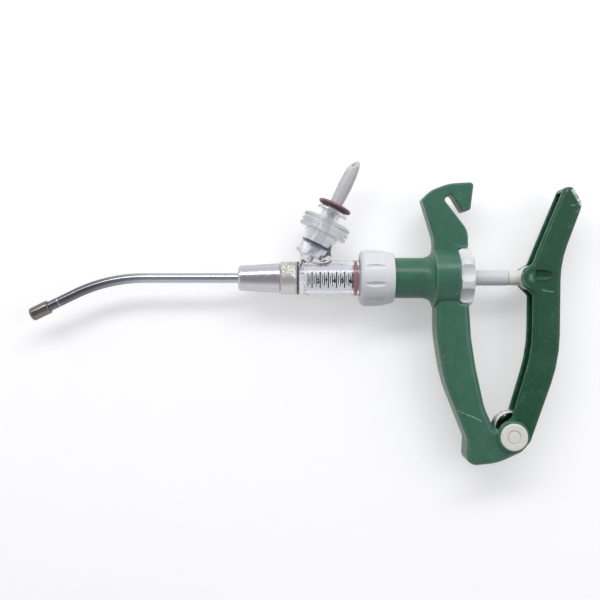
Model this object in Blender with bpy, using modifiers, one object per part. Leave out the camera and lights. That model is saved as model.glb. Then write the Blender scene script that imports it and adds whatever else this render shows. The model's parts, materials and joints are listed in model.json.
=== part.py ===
"""A pour-on applicator gun lying on its side: a clear dosing barrel with a bent nozzle, a bottle
spike on a slanted inlet branch, and a fixed handle with a spring lever that drives the piston.

Metres, +Z up. +X runs from the nozzle towards the lever, +Y from the grip's toe towards the hook.
The pump's axis lies along X, and stations along it are counted from where the inlet's axis
crosses it."""

import math

import bmesh
import bpy
from mathutils import Matrix, Vector

MM = 0.001
ML = 1e-6

# Clearances
GAP = 0.3 * MM  # between faces that seat on each other
RUNNING = 0.35 * MM  # radial, between a moving piece and its guide

# Dose and stroke
MAX_DOSE = 6 * ML
BORE = 16.3 * MM  # diameter
STROKE = MAX_DOSE / (math.pi * BORE**2 / 4)

# Clear barrel
BORE_FLOOR = 2.3 * MM  # station of the bore's front end, the zero of the dose scale
BARREL_WALL = 2.5 * MM
BARREL_REAR = 43.4 * MM
FRONT_FLANGE_FRONT = -0.4 * MM
FRONT_FLANGE_LENGTH = 3.8 * MM
FRONT_FLANGE_RADIUS = 10.0 * MM
NECK_LENGTH = 7.1 * MM
NECK_RADIUS = 7.3 * MM
REAR_FLANGE_LENGTH = 2.6 * MM
REAR_FLANGE_RADIUS = 12.8 * MM
OUTLET_PORT_RADIUS = 2.5 * MM
OUTLET_CHAMBER_RADIUS = 4.6 * MM
OUTLET_CHAMBER_DEPTH = 4.8 * MM  # from the neck's front face

# Piston, its seal and its rod
PISTON_LENGTH = 9.0 * MM
PISTON_NOSE = 1.0 * MM  # in front of the seal's groove
SEAL_WIDTH = 2.5 * MM
SEAL_DEPTH = 1.9 * MM
ROD_RADIUS = 4.55 * MM
ROD_TENON_RADIUS = 2.6 * MM
ROD_TENON_LENGTH = 6.0 * MM
PISTON_SOCKET_DEPTH = 5.0 * MM

# Union nut and its seal
NUT_LIP = 5.0 * MM
NUT_LENGTH = 20.5 * MM
NUT_RADIUS = 16.9 * MM
NUT_FRONT_RADIUS = 13.4 * MM
NUT_REAR_RADIUS = 14.6 * MM
NUT_CORNER = 4.0 * MM
NUT_FLUTES = 10
FLUTE_LENGTH = 13.6 * MM
FLUTE_WIDTH = 2.0 * MM
FLUTE_DEPTH = 0.7 * MM
BARREL_GASKET = 1.5 * MM

# Body: the tube, the hub that carries the dose knob, the hook and the grip
BODY_LENGTH = 47.2 * MM  # front face to the knob's seat
HANDLE_BACK = 3.4 * MM  # how far behind that seat the hook and the grip reach past the knob
BODY_THREAD_LENGTH = 10.2 * MM
TUBE_RADIUS = 12.1 * MM
BODY_BORE_RADIUS = 8.0 * MM
HUB_RADIUS = 17.6 * MM
HUB_LENGTH = 13.2 * MM
HUB_FLARE = 7.5 * MM  # length of the hollow curve between the tube and the hub
HOOK_THICKNESS = 13.0 * MM
HOOK_EDGE = 1.6 * MM
GRIP_THICKNESS = 22.4 * MM
GRIP_EDGE = 4.0 * MM
GRIP_WALL = 3.2 * MM
GRIP_WEB = 4.0 * MM

# Dose knob and its stop sleeve
KNOB_LENGTH = 9.4 * MM
KNOB_RADIUS = 18.4 * MM
KNOB_RIM_ROUND = 2.2 * MM
KNOB_SCALLOPS = 8
SCALLOP_RADIUS = 7.2 * MM
SCALLOP_DEPTH = 1.9 * MM
KNOB_DISH_RADIUS = 11.8 * MM
KNOB_DISH_DEPTH = 3.6 * MM
SLEEVE_RADIUS = 7.4 * MM
SLEEVE_SEAT = 2.6 * MM  # how far the sleeve enters the knob

# Rod end
ROD_END_RADIUS = 4.7 * MM
ROD_END_FLARE = 7.0 * MM
ROD_END_LENGTH = 12.9 * MM  # joint with the rod to the pin
EYE_RADIUS = 7.2 * MM
EYE_PLAY = 0.7 * MM  # on each side, between the lever's walls

# Pivot and lever
PIVOT_BEHIND_HANDLE = 28.9 * MM  # from the station that the hook and the grip are drawn from
PIVOT_BELOW_AXIS = 93.4 * MM
PIN_BEHIND_PIVOT = 12.0 * MM
LEVER_WIDTH = 17.6 * MM
LEVER_EDGE = 2.6 * MM
LEVER_WALL = 2.9 * MM
LEVER_WEB = 3.2 * MM
EAR_RADIUS = 6.1 * MM
LINK_PIN_RADIUS = 1.5 * MM
LINK_PIN_GRIP = 1.7 * MM  # how far the pin's end enters an ear
LINK_SLOT_TRAVEL = 1.9 * MM
SCOOP_LENGTH = 12.0 * MM
SCOOP_WIDTH = 7.0 * MM
SCOOP_DEPTH = 2.0 * MM
PIVOT_PIN_RADIUS = 3.0 * MM
HUB_BUSH_RADIUS = 4.5 * MM
LEVER_EYE_RADIUS = 8.4 * MM
BOSS_RADIUS = 9.8 * MM
BOSS_HEIGHT = 1.1 * MM
CAP_RADIUS = 8.0 * MM
CAP_HEAD = 1.6 * MM
CAP_SHANK_RADIUS = 5.2 * MM
CAP_RING_RADIUS = 3.7 * MM

# Torsion spring
WIRE = 1.6 * MM
COIL_RADIUS = 9.5 * MM  # to the wire's centre
COIL_PITCH = 2.1 * MM
COIL_STEPS = 10  # points in one turn
BODY_LEG = 21.5 * MM
LEVER_LEG = 17.0 * MM
BODY_LEG_HEADING = 143.0  # degrees from +X
LEVER_LEG_HEADING = 76.5
COIL_TURNS = 4

# Inlet branch, its valve and the bottle adapter, measured along the inlet's own axis
INLET_LEAN = 26.0  # degrees from +Y towards +X
BRANCH_ROOT = 9.6 * MM
BRANCH_ROOT_RADIUS = 4.2 * MM
BRANCH_FLANGE = 14.4 * MM
BRANCH_FLANGE_LENGTH = 1.5 * MM
BRANCH_FLANGE_RADIUS = 9.9 * MM
CUP_RADIUS = 9.2 * MM
CUP_WALL = 0.9 * MM
CUP_FLOOR = 20.9 * MM
CUP_TOP = 26.5 * MM
INLET_CHAMBER_FLOOR = 14.6 * MM
INLET_CHAMBER_RADIUS = 5.2 * MM
INLET_PORT_RADIUS = 1.6 * MM
WEB_REAR = 18.8 * MM  # station of the web's upright rear edge
WEB_RADIUS = 6.4 * MM
WEB_TOP = 19.4 * MM
DISC_THICKNESS = 1.4 * MM
DISC_HOLE_RADIUS = 2.8 * MM
ADAPTER_STEP_RADIUS = 10.3 * MM
ADAPTER_STEP_LENGTH = 2.8 * MM
RING_LENGTH = 8.8 * MM
RING_RADIUS = 14.9 * MM
RING_GROOVE = 1.1 * MM
RING_RIDGES = 3
ADAPTER_NECK_RADIUS = 5.8 * MM
ADAPTER_NECK_LENGTH = 5.0 * MM
SEAT_RADIUS = 9.4 * MM
SEAT_THICKNESS = 1.6 * MM
ADAPTER_BORE_RADIUS = 2.9 * MM
GASKET_RADIUS = 10.6 * MM
GASKET_THICKNESS = 1.5 * MM
GASKET_CUP = 0.5 * MM  # how far its rim droops
GASKET_TIP = 9.0  # degrees that it has tipped towards +Z
SPIKE_LENGTH = 33.2 * MM  # above the seat
SPIKE_BASE_RADIUS = 3.7 * MM
SPIKE_RADIUS = 4.25 * MM
SPIKE_SHANK_LENGTH = 8.0 * MM
SPIKE_BORE_RADIUS = 1.1 * MM
SPIKE_NOSE = 17.0 * MM

# Small check valves
VALVE_HEAD_RADIUS = 3.6 * MM
VALVE_HEAD_THICKNESS = 1.4 * MM
VALVE_STEM_RADIUS = 1.0 * MM
VALVE_TRAVEL = 1.2 * MM
OUTLET_STEM_LENGTH = 6.0 * MM
INLET_STEM_LENGTH = 2.6 * MM
VALVE_WIRE = 0.6 * MM
VALVE_COIL_RADIUS = 2.6 * MM
VALVE_COIL_STEPS = 8
OUTLET_SEAT_THICKNESS = 1.2 * MM

# Nozzle: collar, cone, tube and tip
COLLAR_LENGTH = 9.4 * MM
COLLAR_RADIUS = 9.75 * MM
COLLAR_LIP = 1.5 * MM
FRONT_SEAL = 1.2 * MM
CONE_REAR_RADIUS = 8.9 * MM
CONE_FRONT_RADIUS = 7.5 * MM
CONE_ROUND = 1.8 * MM
CONE_SPIGOT_RADIUS = 5.6 * MM
CONE_FLANGE = 1.2 * MM
CONE_CHAMBER_DEPTH = 9.0 * MM
CONE_WEB = 1.0 * MM  # between the valve's chamber and the tube's seat
NOZZLE_RADIUS = 3.0 * MM
NOZZLE_WALL = 0.7 * MM
NOZZLE_SEAT_DEPTH = 18.8 * MM  # how far the tube enters the cone
NOZZLE_STRAIGHT = 56.4 * MM  # from the cone's front to the bend
NOZZLE_BEND_RADIUS = 95.0 * MM
NOZZLE_BEND = 25.8  # degrees
NOZZLE_END = 28.5 * MM  # straight stretch after the bend
BEND_STEPS = 9
TIP_LENGTH = 12.0 * MM
TIP_RADIUS = 3.95 * MM
TIP_LIP = 0.8 * MM

# The hook, the grip and the lever are drawn at this depth of the pivot, and grow with it
DRAWN_DEPTH = 93.4

# Facets
ROUND_STEPS = 32
SMALL_STEPS = 24
TINY_STEPS = 14
KNOB_STEPS = 40

# Stations along the pump's axis that follow from the sizes above
NECK_FRONT = FRONT_FLANGE_FRONT - NECK_LENGTH
BARREL_RADIUS = BORE / 2 + BARREL_WALL
REAR_FLANGE_FRONT = BARREL_REAR - REAR_FLANGE_LENGTH
NUT_FRONT = REAR_FLANGE_FRONT - GAP - NUT_LIP
BODY_FRONT = BARREL_REAR + GAP + BARREL_GASKET + GAP
KNOB_SEAT = BODY_FRONT + BODY_LENGTH
HANDLE_STATION = KNOB_SEAT + HANDLE_BACK
KNOB_FRONT = KNOB_SEAT + GAP
KNOB_REAR = KNOB_FRONT + KNOB_LENGTH
PISTON_FRONT = BORE_FLOOR + GAP + STROKE
PISTON_REAR = PISTON_FRONT + PISTON_LENGTH
SLEEVE_FRONT = PISTON_REAR + GAP
SLEEVE_REAR = KNOB_FRONT + SLEEVE_SEAT - GAP
PIVOT_STATION = HANDLE_STATION + PIVOT_BEHIND_HANDLE
PIN_STATION = PIVOT_STATION + PIN_BEHIND_PIVOT
ROD_REAR = PIN_STATION - ROD_END_LENGTH
COLLAR_REAR = FRONT_FLANGE_FRONT - FRONT_SEAL - 2 * GAP
COLLAR_FRONT = COLLAR_REAR - COLLAR_LENGTH
CONE_REAR = COLLAR_FRONT - GAP
SPIGOT_REAR = NECK_FRONT - GAP
CHAMBER_FRONT = SPIGOT_REAR - CONE_CHAMBER_DEPTH
TUBE_SEAT = CHAMBER_FRONT - CONE_WEB
CONE_FRONT = TUBE_SEAT - GAP - NOZZLE_SEAT_DEPTH

# Heights along the inlet's axis that follow
DISC_BOTTOM = CUP_FLOOR + GAP
DISC_TOP = DISC_BOTTOM + DISC_THICKNESS
ADAPTER_BOTTOM = DISC_TOP + GAP
STEP_BOTTOM = CUP_TOP + GAP
RING_BOTTOM = STEP_BOTTOM + ADAPTER_STEP_LENGTH
RING_TOP = RING_BOTTOM + RING_LENGTH
SEAT_BOTTOM = RING_TOP + ADAPTER_NECK_LENGTH
SEAT_TOP = SEAT_BOTTOM + SEAT_THICKNESS
CUP_BORE = CUP_RADIUS - CUP_WALL

# Sizes of the handle and the lever that follow
DRAWN = PIVOT_BELOW_AXIS / DRAWN_DEPTH
EYE_THICKNESS = LEVER_WIDTH - 2 * LEVER_WALL - 2 * EYE_PLAY

NYLON_GREEN = (0.045, 0.155, 0.105)


def mm(*values):
    """Values in millimetres, in metres."""
    return tuple(value * MM for value in values)


# Scene helpers


def clear_scene():
    for obj in list(bpy.data.objects):
        bpy.data.objects.remove(obj, do_unlink=True)


def new_collection(name):
    collection = bpy.data.collections.new(name)
    bpy.context.scene.collection.children.link(collection)
    return collection


def new_material(name, colour, roughness, metallic=0.0, transmission=0.0):
    material = bpy.data.materials.new(name)
    material.use_nodes = True
    shader = material.node_tree.nodes["Principled BSDF"]
    shader.inputs["Base Color"].default_value = (*colour, 1.0)
    shader.inputs["Roughness"].default_value = roughness
    shader.inputs["Metallic"].default_value = metallic
    shader.inputs["Transmission Weight"].default_value = transmission
    return material


def new_empty(name, parent=None, location=(0, 0, 0), rotation=(0, 0, 0)):
    empty = bpy.data.objects.new(name, None)
    PARTS.objects.link(empty)
    empty.parent = parent
    empty.location = location
    empty.rotation_euler = rotation
    return empty


def new_object(name, data, material=None, parent=None, location=(0, 0, 0), rotation=(0, 0, 0)):
    """An object in the parts collection, or, without a material, a hidden cutter."""
    obj = bpy.data.objects.new(name, data)
    if material is None:
        CUTTERS.objects.link(obj)
        obj.hide_render = True
        obj.display_type = "WIRE"
    else:
        PARTS.objects.link(obj)
        data.materials.append(material)
    obj.parent = parent
    obj.location = location
    obj.rotation_euler = rotation
    return obj


# Shapes


def turned(name, outline, steps, **placing):
    """A turned piece. The outline is (radius, height) points, down the outer side from the top.
    Unless it starts and ends on the axis it closes on itself, as a ring's section."""
    mesh = bpy.data.meshes.new(name)
    points = [(radius, 0.0, height) for radius, height in outline]
    edges = [(i, i + 1) for i in range(len(points) - 1)]
    if outline[0][0] > 0 or outline[-1][0] > 0:
        edges.append((len(points) - 1, 0))
    mesh.from_pydata(points, edges, [])
    obj = new_object(name, mesh, **placing)
    screw = obj.modifiers.new("turn", "SCREW")
    screw.axis = "Z"
    screw.angle = 2 * math.pi
    screw.steps = steps
    screw.render_steps = steps
    screw.use_merge_vertices = True
    screw.merge_threshold = 0.001 * MM
    screw.use_smooth_shade = True
    return obj


def ring(name, outer, inner, bottom, top, steps, **placing):
    outline = [(inner, top), (outer, top), (outer, bottom), (inner, bottom)]
    return turned(name, outline, steps, **placing)


def rod(name, radius, bottom, top, steps, **placing):
    outline = [(0, top), (radius, top), (radius, bottom), (0, bottom)]
    return turned(name, outline, steps, **placing)


def arc(centre, radius, start, end, steps):
    """Points on an arc, from angle start to end in degrees."""
    turns = [math.radians(start + (end - start) * i / steps) for i in range(steps + 1)]
    return [(centre[0] + radius * math.cos(a), centre[1] + radius * math.sin(a)) for a in turns]


def filleted(corners, degrees_per_step=18.0):
    """The closed outline through corners (x, y, fillet radius), each corner made an arc."""
    points = []
    count = len(corners)
    for i, (x, y, radius) in enumerate(corners):
        here = Vector((x, y))
        back = (Vector(corners[i - 1][:2]) - here).normalized()
        ahead = (Vector(corners[(i + 1) % count][:2]) - here).normalized()
        half = back.angle(ahead) / 2
        if radius == 0 or half > math.radians(89.5):
            points.append((x, y))
            continue
        turn = math.pi - 2 * half
        steps = max(2, round(math.degrees(turn) / degrees_per_step))
        centre = here + (back + ahead).normalized() * radius / math.sin(half)
        first = here + back * radius / math.tan(half) - centre
        side = 1 if first.cross(here - centre) > 0 else -1
        for step in range(steps + 1):
            spoke = Matrix.Rotation(side * turn * step / steps, 2) @ first
            points.append((centre.x + spoke.x, centre.y + spoke.y))
    return points


def mesh_from_curve(obj):
    """Gives the curve's solid to a new mesh object that takes its name and place."""
    bpy.context.view_layer.update()
    evaluated = obj.evaluated_get(bpy.context.evaluated_depsgraph_get())
    mesh = bpy.data.meshes.new_from_object(evaluated)
    shape = bmesh.new()
    shape.from_mesh(mesh)
    bmesh.ops.remove_doubles(shape, verts=shape.verts, dist=0.001 * MM)
    bmesh.ops.dissolve_limit(
        shape, angle_limit=math.radians(0.5), verts=shape.verts, edges=shape.edges
    )
    bmesh.ops.recalc_face_normals(shape, faces=shape.faces)
    shape.to_mesh(mesh)
    shape.free()
    mesh.shade_smooth()
    mesh.set_sharp_from_angle(angle=math.radians(35))
    name = obj.name
    made = bpy.data.objects.new(name + "_mesh", mesh)
    for collection in obj.users_collection:
        collection.objects.link(made)
    made.hide_render = obj.hide_render
    made.display_type = obj.display_type
    made.parent = obj.parent
    made.location = obj.location
    made.rotation_euler = obj.rotation_euler
    curve = obj.data
    bpy.data.objects.remove(obj)
    bpy.data.curves.remove(curve)
    made.name = name
    return made


def plate(name, outline, thickness, edge=0.0, edge_steps=2, **placing):
    """A flat piece in the XY plane, centred on it, with rounded edges."""
    curve = bpy.data.curves.new(name, "CURVE")
    curve.dimensions = "2D"
    curve.fill_mode = "BOTH"
    curve.extrude = thickness / 2 - edge
    curve.bevel_depth = edge
    curve.bevel_resolution = edge_steps
    curve.offset = -edge
    spline = curve.splines.new("POLY")
    spline.points.add(len(outline) - 1)
    for point, (x, y) in zip(spline.points, outline):
        point.co = (x, y, 0, 1)
    spline.use_cyclic_u = True
    return mesh_from_curve(new_object(name, curve, **placing))


def wire(name, points, radius, resolution, **placing):
    """A round wire or tube along points, with flat ends."""
    curve = bpy.data.curves.new(name, "CURVE")
    curve.dimensions = "3D"
    curve.bevel_depth = radius
    curve.bevel_resolution = resolution
    curve.use_fill_caps = True
    spline = curve.splines.new("POLY")
    spline.points.add(len(points) - 1)
    for point, place in zip(spline.points, points):
        point.co = (*place, 1)
    return mesh_from_curve(new_object(name, curve, **placing))


def ball(name, radius, segments, rings, scale=(1, 1, 1), **placing):
    mesh = bpy.data.meshes.new(name)
    shape = bmesh.new()
    size = Matrix.Diagonal((*scale, 1))
    bmesh.ops.create_uvsphere(
        shape, u_segments=segments, v_segments=rings, radius=radius, matrix=size
    )
    shape.to_mesh(mesh)
    shape.free()
    return new_object(name, mesh, **placing)


def block(name, size, **placing):
    mesh = bpy.data.meshes.new(name)
    shape = bmesh.new()
    bmesh.ops.create_cube(shape, size=1.0, matrix=Matrix.Diagonal((*size, 1)))
    shape.to_mesh(mesh)
    shape.free()
    return new_object(name, mesh, **placing)


def boolean(target, other, operation):
    modifier = target.modifiers.new(operation.lower(), "BOOLEAN")
    modifier.operation = operation
    modifier.object = other
    modifier.solver = "EXACT"


def cut(target, *cutters):
    for cutter in cutters:
        boolean(target, cutter, "DIFFERENCE")


def join(target, *others):
    for other in others:
        boolean(target, other, "UNION")


def helix(radius, start, turn, height, steps_per_turn):
    """Points of a coil about Z, from angle start through turn, in radians, climbing height."""
    count = round(abs(turn) / (2 * math.pi) * steps_per_turn)
    points = []
    for i in range(count + 1):
        angle = start + turn * i / count
        points.append(
            (radius * math.cos(angle), radius * math.sin(angle), height * (i / count - 0.5))
        )
    return points


def least_gap(points, radius, apart):
    """The least clear distance between stretches of a wire that lie more than apart along it."""
    places = [Vector(p) for p in points]
    run = [0.0]
    for a, b in zip(places, places[1:]):
        run.append(run[-1] + (b - a).length)
    least = math.inf
    for i, a in enumerate(places):
        for j in range(i + 1, len(places) - 1):
            if run[j] - run[i] < apart:
                continue
            b, along = places[j], places[j + 1] - places[j]
            share = max(0.0, min(1.0, (a - b).dot(along) / along.length_squared))
            least = min(least, (a - b - along * share).length)
    return least - 2 * radius


# Nozzle


def nozzle_path(before, after):
    """Points of the nozzle's centre line in the XY plane, lengthened at both ends."""
    bend_start = CONE_FRONT - NOZZLE_STRAIGHT
    points = [(CONE_FRONT + NOZZLE_SEAT_DEPTH + before, 0.0, 0.0)]
    centre = (bend_start, -NOZZLE_BEND_RADIUS)
    bend = arc(centre, NOZZLE_BEND_RADIUS, 90, 90 + NOZZLE_BEND, BEND_STEPS)
    points += [(x, y, 0.0) for x, y in bend]
    heading = math.radians(180 + NOZZLE_BEND)
    length = NOZZLE_END + after
    points.append(
        (points[-1][0] + length * math.cos(heading), points[-1][1] + length * math.sin(heading), 0.0)
    )
    return points


def build_nozzle(root, axis):
    steel = new_material("polished_steel", (0.55, 0.55, 0.58), 0.2, 1.0)
    tube = wire("nozzle_tube", nozzle_path(0, 0), NOZZLE_RADIUS, 4, material=steel, parent=root)
    bore = wire("nozzle_bore", nozzle_path(GAP, GAP), NOZZLE_RADIUS - NOZZLE_WALL, 3, parent=root)
    cut(tube, bore)

    end = nozzle_path(0, 0)[-1]
    heading = math.radians(180 + NOZZLE_BEND)
    tip_axis = new_empty("tip_axis", root, end, (0, math.radians(90), heading))
    inner = NOZZLE_RADIUS + GAP / 2
    mouth = NOZZLE_RADIUS - NOZZLE_WALL
    front = GAP / 2 + TIP_LIP
    rear = front - TIP_LENGTH
    outline = [
        (mouth, front),
        (TIP_RADIUS - 1.1 * MM, front),
        (TIP_RADIUS - 0.3 * MM, front - 0.5 * MM),
        (TIP_RADIUS, front - 1.4 * MM),
        (TIP_RADIUS, rear + 0.5 * MM),
        (TIP_RADIUS - 0.4 * MM, rear),
        (inner, rear),
        (inner, GAP / 2),
        (mouth, GAP / 2),
    ]
    brown = new_material("darkened_steel", (0.23, 0.2, 0.19), 0.4, 1.0)
    turned("nozzle_tip", outline, SMALL_STEPS, material=brown, parent=tip_axis)

    satin = new_material("satin_metal", (0.5, 0.49, 0.53), 0.35, 1.0)
    flange_front = SPIGOT_REAR - CONE_FLANGE
    outline = [
        (OUTLET_CHAMBER_RADIUS, SPIGOT_REAR),
        (NECK_RADIUS, SPIGOT_REAR),
        (NECK_RADIUS, flange_front),
        (CONE_SPIGOT_RADIUS, flange_front),
        (CONE_SPIGOT_RADIUS, CONE_REAR),
        (CONE_REAR_RADIUS - 0.4 * MM, CONE_REAR),
        (CONE_REAR_RADIUS, CONE_REAR - 0.5 * MM),
    ]
    rounding = arc(
        (CONE_FRONT_RADIUS - CONE_ROUND, CONE_FRONT + CONE_ROUND), CONE_ROUND, 0, -80, 3
    )
    outline += rounding
    outline += [
        (NOZZLE_RADIUS + GAP, CONE_FRONT),
        (NOZZLE_RADIUS + GAP, TUBE_SEAT),
        (NOZZLE_RADIUS - NOZZLE_WALL, TUBE_SEAT),
        (NOZZLE_RADIUS - NOZZLE_WALL, CHAMBER_FRONT),
        (OUTLET_CHAMBER_RADIUS, CHAMBER_FRONT),
    ]
    turned("nozzle_cone", outline, ROUND_STEPS, material=satin, parent=axis)

    nickel = new_material("cast_nickel", (0.55, 0.52, 0.45), 0.55, 1.0)
    lip_rear = COLLAR_FRONT + COLLAR_LIP
    outline = [
        (NECK_RADIUS + GAP, COLLAR_REAR),
        (COLLAR_RADIUS - 0.4 * MM, COLLAR_REAR),
        (COLLAR_RADIUS, COLLAR_REAR - 0.6 * MM),
        (COLLAR_RADIUS, COLLAR_FRONT + 1.0 * MM),
        (COLLAR_RADIUS - 0.9 * MM, COLLAR_FRONT),
        (CONE_SPIGOT_RADIUS + GAP, COLLAR_FRONT),
        (CONE_SPIGOT_RADIUS + GAP, lip_rear),
        (NECK_RADIUS + GAP, lip_rear),
    ]
    turned("nozzle_collar", outline, ROUND_STEPS, material=nickel, parent=axis)

    black = new_material("black_seal", (0.02, 0.02, 0.022), 0.5)
    ring(
        "front_seal",
        FRONT_FLANGE_RADIUS - 0.1 * MM,
        NECK_RADIUS + GAP,
        COLLAR_REAR + GAP,
        FRONT_FLANGE_FRONT - GAP,
        ROUND_STEPS,
        material=black,
        parent=axis,
    )


# Check valves


def poppet(name, stem_length, material, **placing):
    """A valve head with its sealing face at height 0 and its stem below it."""
    outline = [
        (0, 0),
        (VALVE_HEAD_RADIUS - 0.5 * MM, 0),
        (VALVE_HEAD_RADIUS, -0.5 * MM),
        (VALVE_HEAD_RADIUS, -VALVE_HEAD_THICKNESS),
        (VALVE_STEM_RADIUS, -VALVE_HEAD_THICKNESS),
        (VALVE_STEM_RADIUS, -VALVE_HEAD_THICKNESS - stem_length),
        (0, -VALVE_HEAD_THICKNESS - stem_length),
    ]
    return turned(name, outline, TINY_STEPS, material=material, **placing)


def valve_spring(name, bottom, top, turns, **placing):
    """A small open coil whose wire's ends lie between heights bottom and top."""
    middle = (bottom + top) / 2
    height = top - bottom - VALVE_WIRE
    points = helix(VALVE_COIL_RADIUS, 0, 2 * math.pi * turns, height, VALVE_COIL_STEPS)
    points = [(x, y, z + middle) for x, y, z in points]
    gap = least_gap(points, VALVE_WIRE / 2, math.pi * VALVE_COIL_RADIUS)
    print(f"{name}: least gap between turns {gap / MM:.2f} mm")
    return wire(name, points, VALVE_WIRE / 2, 1, **placing)


def build_outlet_valve(axis):
    """The valve that opens towards the nozzle. Its height runs along +X, so it is turned round."""
    seat_rear = NECK_FRONT + OUTLET_CHAMBER_DEPTH - GAP
    seat_front = seat_rear - OUTLET_SEAT_THICKNESS
    rubber = new_material("valve_rubber", (0.03, 0.03, 0.03), 0.6)
    ring(
        "outlet_seat",
        OUTLET_CHAMBER_RADIUS - GAP,
        OUTLET_PORT_RADIUS,
        seat_front,
        seat_rear,
        SMALL_STEPS,
        material=rubber,
        parent=axis,
    )
    white = new_material("valve_acetal", (0.75, 0.75, 0.74), 0.4)
    head_face = seat_front - GAP
    poppet(
        "outlet_valve", OUTLET_STEM_LENGTH, white, parent=axis, location=(0, 0, head_face)
    )
    steel = new_material("valve_spring_steel", (0.5, 0.5, 0.5), 0.3, 1.0)
    spring_rear = head_face - VALVE_HEAD_THICKNESS - GAP
    spring_front = CHAMBER_FRONT + GAP
    valve_spring("outlet_valve_spring", spring_front, spring_rear, 4, material=steel, parent=axis)


def build_inlet_valve(inlet):
    white = new_material("inlet_acetal", (0.75, 0.75, 0.74), 0.4)
    head_face = DISC_BOTTOM - GAP
    poppet(
        "inlet_valve", INLET_STEM_LENGTH, white, parent=inlet, location=(0, 0, head_face)
    )
    steel = new_material("inlet_spring_steel", (0.5, 0.5, 0.5), 0.3, 1.0)
    spring_top = head_face - VALVE_HEAD_THICKNESS - GAP
    valve_spring(
        "inlet_valve_spring", INLET_CHAMBER_FLOOR + GAP, spring_top, 3, material=steel, parent=inlet
    )
    rubber = new_material("inlet_rubber", (0.03, 0.03, 0.035), 0.5)
    ring(
        "inlet_seal",
        CUP_BORE - GAP,
        DISC_HOLE_RADIUS,
        DISC_BOTTOM,
        DISC_TOP,
        SMALL_STEPS,
        material=rubber,
        parent=inlet,
    )


# Barrel


def build_barrel(root, axis, inlet):
    clear = new_material("clear_barrel", (0.78, 0.78, 0.85), 0.08, 0.0, 0.9)
    front_flange_rear = FRONT_FLANGE_FRONT + FRONT_FLANGE_LENGTH
    outline = [
        (0, BARREL_REAR),
        (REAR_FLANGE_RADIUS, BARREL_REAR),
        (REAR_FLANGE_RADIUS, REAR_FLANGE_FRONT),
        (BARREL_RADIUS, REAR_FLANGE_FRONT),
        (BARREL_RADIUS, front_flange_rear + 1.0 * MM),
        (FRONT_FLANGE_RADIUS, front_flange_rear),
        (FRONT_FLANGE_RADIUS, FRONT_FLANGE_FRONT),
        (NECK_RADIUS, FRONT_FLANGE_FRONT),
        (NECK_RADIUS, NECK_FRONT),
        (0, NECK_FRONT),
    ]
    barrel = turned("barrel", outline, ROUND_STEPS, material=clear, parent=axis)

    inside_wall = BORE / 2 + BARREL_WALL / 2
    outline = [
        (0, CUP_TOP),
        (CUP_RADIUS, CUP_TOP),
        (CUP_RADIUS - 0.3 * MM, BRANCH_FLANGE + BRANCH_FLANGE_LENGTH),
        (BRANCH_FLANGE_RADIUS, BRANCH_FLANGE + BRANCH_FLANGE_LENGTH),
        (BRANCH_FLANGE_RADIUS, BRANCH_FLANGE),
        (CUP_RADIUS - 1.7 * MM, BRANCH_FLANGE - 0.3 * MM),
        (BRANCH_ROOT_RADIUS, BRANCH_ROOT),
        (BRANCH_ROOT_RADIUS, BRANCH_ROOT - 1.2 * MM),
        (0, BRANCH_ROOT - 1.2 * MM),
    ]
    branch = turned("branch_form", outline, ROUND_STEPS, parent=inlet)

    # The web stands upright behind the branch, round-backed, and its top follows the cup.
    lean = math.radians(INLET_LEAN)
    web = rod(
        "web_form",
        WEB_RADIUS,
        inside_wall - 1.4 * MM,
        WEB_TOP,
        SMALL_STEPS,
        parent=root,
        location=(WEB_REAR - WEB_RADIUS, 0, 0),
        rotation=(math.radians(-90), 0, 0),
    )
    above = block("web_trim", mm(40, 40, 20), parent=inlet, location=(0, 0, CUP_TOP - GAP + 10 * MM))
    cut(web, above)
    join(barrel, branch, web)

    chamber = [
        (0, CUP_TOP + 1 * MM),
        (CUP_BORE, CUP_TOP + 1 * MM),
        (CUP_BORE, CUP_FLOOR),
        (INLET_CHAMBER_RADIUS, CUP_FLOOR),
        (INLET_CHAMBER_RADIUS, INLET_CHAMBER_FLOOR),
        (0, INLET_CHAMBER_FLOOR),
    ]
    chamber = turned("inlet_chamber", chamber, SMALL_STEPS, parent=inlet)
    # The port falls from the chamber's floor to the outlet port, in front of the piston's nose.
    top = Vector((math.sin(lean), math.cos(lean), 0)) * (INLET_CHAMBER_FLOOR + 0.5 * MM)
    foot = Vector((BORE_FLOOR - 3.2 * MM, OUTLET_PORT_RADIUS / 2, 0))
    port = wire("inlet_port", [top, foot], INLET_PORT_RADIUS, 2, parent=root)
    passage = [
        (0, BARREL_REAR + 1 * MM),
        (BORE / 2, BARREL_REAR + 1 * MM),
        (BORE / 2, BORE_FLOOR),
        (OUTLET_PORT_RADIUS, BORE_FLOOR),
        (OUTLET_PORT_RADIUS, NECK_FRONT + OUTLET_CHAMBER_DEPTH),
        (OUTLET_CHAMBER_RADIUS, NECK_FRONT + OUTLET_CHAMBER_DEPTH),
        (OUTLET_CHAMBER_RADIUS, NECK_FRONT - 1 * MM),
        (0, NECK_FRONT - 1 * MM),
    ]
    passage = turned("pump_passage", passage, ROUND_STEPS, parent=axis)
    cut(barrel, passage, chamber, port)

    black = new_material("gasket_rubber", (0.04, 0.04, 0.045), 0.6)
    ring(
        "barrel_gasket",
        REAR_FLANGE_RADIUS - GAP,
        BODY_BORE_RADIUS + 1 * MM,
        BARREL_REAR + GAP,
        BARREL_REAR + GAP + BARREL_GASKET,
        ROUND_STEPS,
        material=black,
        parent=axis,
    )


# Bottle adapter, gasket and spike


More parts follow.
